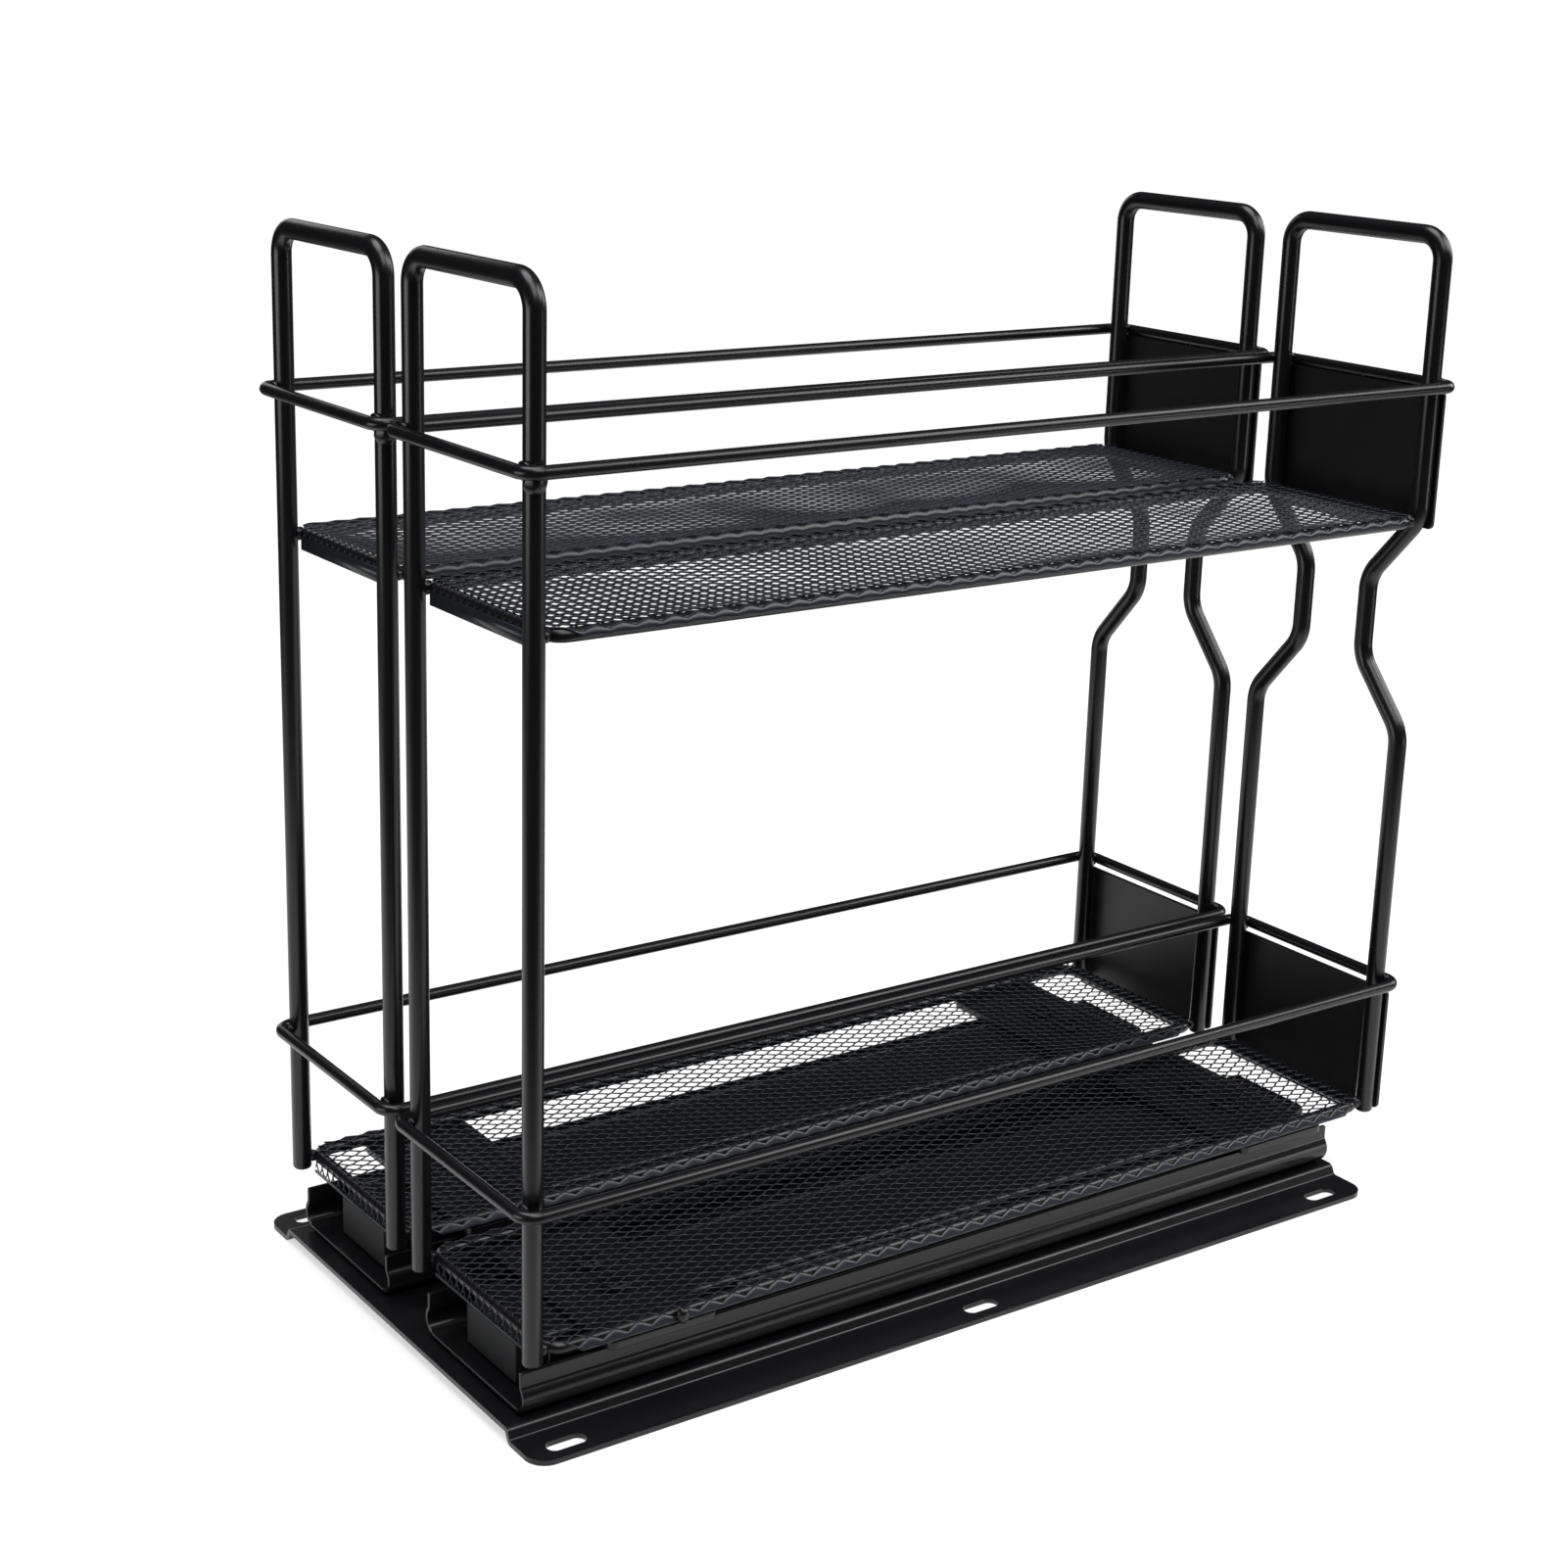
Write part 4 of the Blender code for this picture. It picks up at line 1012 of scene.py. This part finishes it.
def make_outer_member(rack):
    """The wide channel riveted on the platform; each wall bulges round a row of balls."""
    node = rack + "_outer_member"
    low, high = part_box(node)
    belly_y, belly_z = BELLY_CENTRE
    reach = BELLY_RADIUS + HOLLOW_RADIUS
    hollow_y = belly_y + reach * math.cos(BELLY_END)
    hollow_z = belly_z + reach * math.sin(BELLY_END)
    half = [(0, OUTER_SHEET / 2)]
    half += arc(belly_y, belly_z, BELLY_RADIUS, -math.pi / 2, BELLY_END, 2 * FOLD_STEPS)
    half += arc(hollow_y, hollow_z, HOLLOW_RADIUS, math.pi + BELLY_END, math.pi, FOLD_STEPS)[1:]
    half.append((hollow_y - HOLLOW_RADIUS, OUTER_LIP_HEIGHT))
    piece = folded_strip(half, (low.y + high.y) / 2, low.z, low.x, high.x, OUTER_SHEET, OUTER_EDGE)
    finish_piece(piece, node + "_channel", "base", [node], [SHEET_COAT])


def slide_base_z(rack):
    """Height of the underside of a slide."""
    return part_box(rack + "_outer_member")[0].z


def make_middle_member(rack):
    """The intermediate channel, which runs between both rows of balls."""
    node = rack + "_middle_member"
    low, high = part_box(node)
    outer_race = OUTER_BALL / 2 + GAP + MEMBER_SHEET / 2
    inner_race = INNER_BALL / 2 + GAP + MEMBER_SHEET / 2
    web = OUTER_SHEET + GAP + CAGE_SHEET + GAP + MEMBER_SHEET / 2
    wall_y = OUTER_ROW_OFFSET - outer_race * math.cos(RACE_ANGLE)
    half = [(0, web)]
    half += arc(wall_y - MEMBER_BEND, web + MEMBER_BEND, MEMBER_BEND, -math.pi / 2, 0, FOLD_STEPS)[:-1]
    half += arc(
        OUTER_ROW_OFFSET, OUTER_ROW_HEIGHT, outer_race, math.pi + RACE_ANGLE, math.pi - RACE_ANGLE, FOLD_STEPS
    )
    half += arc(INNER_ROW_OFFSET, INNER_ROW_HEIGHT, inner_race, -RACE_ANGLE, RACE_ANGLE, FOLD_STEPS)
    piece = folded_strip(
        half, (low.y + high.y) / 2, slide_base_z(rack), low.x, high.x, MEMBER_SHEET, MEMBER_EDGE
    )
    finish_piece(piece, node + "_channel", rack + "_middle", [node], [SHEET_COAT])


def make_inner_member(rack):
    """The inner channel, web up, which carries the rack."""
    node = rack + "_inner_member"
    low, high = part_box(node)
    base_z = slide_base_z(rack)
    race = INNER_BALL / 2 + GAP + MEMBER_SHEET / 2
    wall_y = INNER_ROW_OFFSET - race * math.cos(RACE_ANGLE)
    web = high.z - base_z - MEMBER_SHEET / 2
    half = [(0, web)]
    half += arc(wall_y - MEMBER_BEND, web - MEMBER_BEND, MEMBER_BEND, math.pi / 2, 0, FOLD_STEPS)
    half += arc(
        INNER_ROW_OFFSET, INNER_ROW_HEIGHT, race, math.pi - RACE_ANGLE, math.pi + RACE_ANGLE, FOLD_STEPS
    )
    half.append((wall_y, low.z - base_z))
    piece = folded_strip(half, (low.y + high.y) / 2, base_z, low.x, high.x, MEMBER_SHEET, MEMBER_EDGE)
    finish_piece(piece, node + "_channel", rack + "_rack", [node], [SHEET_COAT])


def make_ball_cage(rack, place):
    """A thin folded cage with a row of bright balls on each side."""
    node = rack + "_" + place + "_ball_cage"
    low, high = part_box(node)
    base_z = slide_base_z(rack)
    outer = place == "outer"
    row_offset = OUTER_ROW_OFFSET if outer else INNER_ROW_OFFSET
    row_height = OUTER_ROW_HEIGHT if outer else INNER_ROW_HEIGHT
    ball = OUTER_BALL if outer else INNER_BALL
    web = low.z - base_z + CAGE_SHEET / 2
    half = [
        (0, web), (row_offset - CAGE_CHAMFER, web), (row_offset, web + CAGE_CHAMFER),
        (row_offset, high.z - base_z),
    ]
    centre_y = (low.y + high.y) / 2
    piece = folded_strip(half, centre_y, base_z, low.x, high.x, CAGE_SHEET, CAGE_EDGE)
    builder = bmesh.new()
    builder.from_mesh(piece.data)
    first_x = (low.x + high.x) / 2 - (BALLS_PER_ROW - 1) * BALL_PITCH / 2
    for side in (-1, 1):
        for number in range(BALLS_PER_ROW):
            spot = Vector((first_x + number * BALL_PITCH, centre_y + side * row_offset, base_z + row_height))
            made = bmesh.ops.create_uvsphere(
                builder, u_segments=BALL_SIDES[0], v_segments=BALL_SIDES[1],
                radius=ball / 2, matrix=Matrix.Translation(spot),
            )
            for face in {face for vertex in made["verts"] for face in vertex.link_faces}:
                face.material_index = 1
                face.smooth = True
    builder.to_mesh(piece.data)
    builder.free()
    body = rack + "_" + place + "_cage"
    finish_piece(piece, node + "_with_balls", body, [node], [ZINC, BALL_STEEL])


# Rivets and stop blocks


def turned(profile, place):
    """A turned piece from (radius, height) points, top to bottom."""
    vertices = []
    faces = []
    steps = RIVET_SIDES
    for radius, height in profile:
        ring = round_outline(place.x, place.y, radius, steps)
        vertices += [(x, y, place.z + height) for x, y in ring]
    for level in range(len(profile) - 1):
        for step in range(steps):
            beside = (step + 1) % steps
            faces.append((
                level * steps + step, (level + 1) * steps + step,
                (level + 1) * steps + beside, level * steps + beside,
            ))
    faces.append(tuple(range(steps)))
    faces.append(tuple(reversed(range((len(profile) - 1) * steps, len(profile) * steps))))
    piece = face_outwards(new_piece(vertices, faces))
    piece.data.set_sharp_from_angle(angle=PLATE_SHARP)
    return piece


def rail_rivet_profile(head, height):
    """A countersunk head with a slight dish, a shank, and a tail upset to a low dome."""
    shank = RAIL_RIVET_SHANK / 2
    tail, tail_height = RAIL_RIVET_TAIL
    dish = [(0.4 * MM, 0.12 * MM), (head * 0.55, 0.1 * MM), (head - 0.1 * MM, 0.0), (head, 0.05 * MM)]
    dome = [(tail, 0.5 * MM), (tail * 0.86, 0.15 * MM), (tail * 0.6, 0.0)]
    profile = [(radius, height - depth) for radius, depth in dish]
    return profile + [(shank, height - OUTER_SHEET), (shank, tail_height), (tail, tail_height)] + dome


def strap_rivet_profile(head, height):
    """A low head with a wide flat and a rounded edge, a shank, and a tail upset to a low dome."""
    shoulder = height - STRAP_RIVET_HEAD_HEIGHT
    flat = head * STRAP_RIVET_FLAT
    shank = STRAP_RIVET_SHANK / 2
    tail, tail_height = STRAP_RIVET_TAIL
    profile = [
        (flat + (head - flat) * math.sin(turn), shoulder + STRAP_RIVET_HEAD_HEIGHT * math.cos(turn))
        for turn in (math.radians(angle) for angle in range(0, 91, 15))
    ]
    dome = [(tail, 0.45 * MM), (tail * 0.88, 0.12 * MM), (tail * 0.65, 0.0)]
    return profile + [(shank, shoulder), (shank, tail_height), (tail, tail_height)] + dome


def make_rivet(node, body, profile_of, material):
    """A rivet that fills its node's box, turned to its profile."""
    low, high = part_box(node)
    centre = (low + high) / 2
    profile = profile_of((high.x - low.x) / 2, high.z - low.z)
    piece = turned(profile, Vector((centre.x, centre.y, low.z)))
    finish_piece(piece, node + "_turned", body, [node], [material])


def make_rear_stop(rack):
    """The moulded block that the moving members close against, cored out from below."""
    node = rack + "_rear_stop"
    low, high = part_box(node)
    centre = (low + high) / 2
    size = high - low
    builder = bmesh.new()
    bmesh.ops.create_cube(builder, size=1.0, matrix=Matrix.Translation(centre) @ Matrix.Diagonal((*size, 1)))
    under = min(builder.faces, key=lambda face: face.calc_center_median().z)
    bmesh.ops.inset_region(builder, faces=[under], thickness=STOP_WALL, depth=0.0)
    bmesh.ops.translate(builder, verts=list(under.verts), vec=UP * STOP_CORE)
    piece = piece_from(builder)
    round_edges(piece, STOP_EDGE, 3)
    apply_modifiers(piece)
    shade_by_area(piece, PLATE_SHARP)
    finish_piece(piece, node + "_moulding", "base", [node], [STOP_PLASTIC])


# Base plate


def make_base_plate():
    """The folded base: a raised platform and, along each long side, a flange with screw slots."""
    node = "base_plate"
    low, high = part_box(node)
    level_low = BASE_SHEET / 2
    level_high = high.z - BASE_SHEET / 2
    step_y = high.y - FLANGE_WIDTH - BASE_SHEET / 2
    section = [
        Vector((0, -high.y - TRIM_MARGIN, level_low)), Vector((0, -step_y - STEP_SLOPE, level_low)),
        Vector((0, -step_y, level_high)), Vector((0, step_y, level_high)),
        Vector((0, step_y + STEP_SLOPE, level_low)), Vector((0, high.y + TRIM_MARGIN, level_low)),
    ]
    near_foot = bent_line(section[:3], FOOT_BEND, FOLD_STEPS, False)
    platform = bent_line(section[1:5], BASE_BEND, FOLD_STEPS, False)
    far_foot = bent_line(section[3:], FOOT_BEND, FOLD_STEPS, False)
    places = [(point.y, point.z) for point in near_foot[:-1] + platform[1:-1] + far_foot[1:]]
    piece = strip_surface(places, low.x - TRIM_MARGIN, high.x + TRIM_MARGIN)
    thicken(piece, BASE_SHEET).use_even_offset = True
    outline = rounded_outline(low.x, high.x, low.y, high.y, FLANGE_CORNER, FLANGE_STEPS)
    slots = []
    pitch = (high.x - low.x - SLOT_REAR_INSET - SLOT_FRONT_INSET) / (SLOT_COUNT - 1)
    for side in (-1, 1):
        y = side * (high.y - SLOT_EDGE_DISTANCE)
        for number in range(SLOT_COUNT):
            x = low.x + SLOT_REAR_INSET + number * pitch
            slots.append(rounded_outline(
                x - SLOT_SIZE[0] / 2, x + SLOT_SIZE[0] / 2, y - SLOT_SIZE[1] / 2, y + SLOT_SIZE[1] / 2,
                SLOT_SIZE[1] / 2 - SLOT_END_FLAT, FLANGE_STEPS,
            ))
    tools = {
        "INTERSECT": plate([outline], CUTTER_HEIGHT, CUTTER_EDGE),
        "DIFFERENCE": plate(slots, CUTTER_HEIGHT, CUTTER_EDGE),
    }
    for operation, tool in tools.items():
        cut = piece.modifiers.new(operation.lower(), "BOOLEAN")
        cut.operation = operation
        cut.solver = "EXACT"
        cut.object = tool
    round_edges(piece, BASE_EDGE, 2)
    apply_modifiers(piece)
    for tool in tools.values():
        bpy.data.objects.remove(tool, do_unlink=True)
    shade_by_area(piece, FOLD_SHARP)
    finish_piece(piece, "base_plate_folded_sheet", "base", [node], [SHEET_COAT])


# Studio


def matt_paper(name):
    """Uncoated white paper: matt. It is white to the camera. Near the rack it glows to the coat's gloss, a
    painted reflection.
    """
    material, shader, places = start_material(name)
    material.cycles.emission_sampling = "NONE"
    link = material.node_tree.links.new
    shader.inputs["Roughness"].default_value = 0.9
    shader.inputs["Specular IOR Level"].default_value = 0.2
    rays = add_node(material, "ShaderNodeLightPath", {}, {})
    away = add_node(material, "ShaderNodeVectorMath", {"operation": "LENGTH"}, {0: places})
    around = add_node(
        material, "ShaderNodeMapRange",
        {"From Min": TABLE_EDGE[0], "From Max": TABLE_EDGE[1], "To Min": 1.0, "To Max": TABLE_REST},
        {"Value": away.outputs["Value"]},
    )
    forward = add_node(
        material, "ShaderNodeVectorMath", {"operation": "DOT_PRODUCT", 1: TABLE_FRONT}, {0: places},
    )
    before = add_node(
        material, "ShaderNodeMapRange",
        {
            "From Min": TABLE_FRONT_EDGE[0], "From Max": TABLE_FRONT_EDGE[1],
            "To Min": 1.0, "To Max": TABLE_REST,
        },
        {"Value": forward.outputs["Value"]},
    )
    table = add_node(
        material, "ShaderNodeMath", {"operation": "MINIMUM"},
        {0: around.outputs["Result"], 1: before.outputs["Result"]},
    )
    sight = add_node(
        material, "ShaderNodeMath", {"operation": "ADD", "use_clamp": True},
        {0: rays.outputs["Is Camera Ray"], 1: rays.outputs["Is Transmission Ray"]},
    )
    share = add_node(
        material, "ShaderNodeMath", {"operation": "MAXIMUM"}, {0: sight.outputs[0], 1: table.outputs[0]},
    )
    # Painted shade for other rays: the paper is light grey to the camera and near the rack, and dark grey
    # away from the rack and in front
    paper = add_node(
        material, "ShaderNodeMix",
        {"data_type": "RGBA", MIX_FIRST: linear("#202020"), MIX_SECOND: linear("#aeaeae")},
        {"Factor": share.outputs[0]},
    )
    link(paper.outputs[MIX_RESULT], shader.inputs["Base Color"])
    # Painted reflection: the paper glows to the camera, and near the rack to glossy rays too
    white = add_node(
        material, "ShaderNodeMath", {"operation": "ADD", "use_clamp": True},
        {0: sight.outputs[0], 1: rays.outputs["Is Glossy Ray"]},
    )
    glow = add_node(
        material, "ShaderNodeMath", {"operation": "MULTIPLY"}, {0: white.outputs[0], 1: share.outputs[0]},
    )
    level = add_node(
        material, "ShaderNodeMath", {"operation": "MULTIPLY", 1: PAPER_WHITE}, {0: glow.outputs[0]},
    )
    link(level.outputs[0], shader.inputs["Emission Strength"])
    shader.inputs["Emission Color"].default_value = linear("#ffffff")
    fade = add_node(
        material, "ShaderNodeMapRange",
        {"From Min": FLOOR_FADE[0], "From Max": FLOOR_FADE[1], "To Min": 1.0, "To Max": 0.0},
        {"Value": away.outputs["Value"]},
    )
    link(fade.outputs["Result"], shader.inputs["Alpha"])
    return material


def make_floor():
    """A plain pale table that fades into the room."""
    mesh = bpy.data.meshes.new("floor")
    reach = FLOOR_FADE[1]
    mesh.from_pydata(
        [(-reach, -reach, 0), (reach, -reach, 0), (reach, reach, 0), (-reach, reach, 0)], [], [(0, 1, 2, 3)]
    )
    mesh.materials.append(matt_paper("matt_white_paper_sweep_with_painted_reflection"))
    floor = put_in_scene("floor", mesh)
    floor.location.z = -FLOOR_DROP


def make_world():
    """A dim room that the camera sees as white."""
    world = bpy.data.worlds.new("studio")
    bpy.context.scene.world = world
    world.use_nodes = True
    background = world.node_tree.nodes["Background"]
    rays = add_node(world, "ShaderNodeLightPath", {}, {})
    amount = add_node(
        world, "ShaderNodeMapRange",
        {"To Min": ROOM_LIGHT, "To Max": 1.0}, {"Value": rays.outputs["Is Camera Ray"]},
    )
    world.node_tree.links.new(amount.outputs["Result"], background.inputs["Strength"])
    background.inputs["Color"].default_value = linear("#ffffff")


def towards(azimuth, elevation):
    """The direction that these angles give, in degrees."""
    turn, rise = math.radians(azimuth), math.radians(elevation)
    return Vector((math.cos(turn) * math.cos(rise), math.sin(turn) * math.cos(rise), math.sin(rise)))


def make_lamp(name, kind, away, power):
    """A lamp in the direction away from the rack, which shines back at it."""
    lamp = put_in_scene(name, bpy.data.lights.new(name, kind))
    lamp.data.energy = power
    lamp.rotation_euler = (-away).to_track_quat("-Z", "Y").to_euler()
    return lamp


def make_softbox(name, azimuth, elevation, distance, size, power):
    """A rectangular soft light, aimed at the middle of the rack."""
    away = towards(azimuth, elevation)
    lamp = make_lamp(name, "AREA", away, power)
    lamp.data.shape = "RECTANGLE"
    lamp.data.size, lamp.data.size_y = size
    lamp.location = UP * AIM_HEIGHT + away * distance
    lamp.visible_camera = False


def make_studio():
    """Floor, room and soft lights.

    The key is on the right, with two low strips that the wires mirror. One light behind, one high in
    front and one on the far right are mirrored by strands and folds. The wide light overhead is a sun,
    which is far enough away to light the whole floor alike.
    """
    make_floor()
    make_world()
    for name, values in SOFTBOXES.items():
        make_softbox(name, *values)
    sky = make_lamp("softbox_top", "SUN", towards(*SKY_PLACE), SKY_POWER)
    sky.data.angle = SKY_SPREAD
    bpy.context.scene.view_settings.view_transform = "Standard"


def make_camera():
    """The camera at the photograph's place, turn and lens."""
    data = bpy.data.cameras.new("camera")
    data.sensor_width = 36
    data.lens = CAMERA_LENS
    data.shift_x, data.shift_y = CAMERA_SHIFT
    data.clip_start = 0.01
    data.clip_end = 100
    camera = put_in_scene("camera", data)
    turn, tip, roll = CAMERA_TURNS
    camera.matrix_world = (
        Matrix.Translation(CAMERA_PLACE)
        @ Matrix.Rotation(turn, 4, "Z") @ Matrix.Rotation(tip, 4, "X") @ Matrix.Rotation(roll, 4, "Z")
    )
    bpy.context.scene.camera = camera


def make_rack(rack):
    """One rack with its slide."""
    make_rear_loop(rack)
    make_front_loop(rack)
    for level in LEVELS:
        make_level_wire(rack, rack + "_" + level + "_ring", RING_BEND)
        make_level_wire(rack, rack + "_" + level + "_frame", FRAME_BEND)
        make_shelf(rack, level)
        make_front_panel(rack, level)
    make_welds(rack)
    make_outer_member(rack)
    make_middle_member(rack)
    make_inner_member(rack)
    make_rear_stop(rack)
    for place in ("outer", "inner"):
        make_ball_cage(rack, place)
    for end in ("rear", "front"):
        make_strap(rack, end)
    for number in range(1, RAIL_RIVET_COUNT + 1):
        make_rivet(rack + "_rail_rivet_" + str(number), "base", rail_rivet_profile, ZINC)
    for number in range(1, STRAP_RIVET_COUNT + 1):
        make_rivet(rack + "_strap_rivet_" + str(number), rack + "_rack", strap_rivet_profile, BLACK_ZINC)


make_camera()
make_studio()
make_base_plate()
for rack in RACKS:
    make_rack(rack)
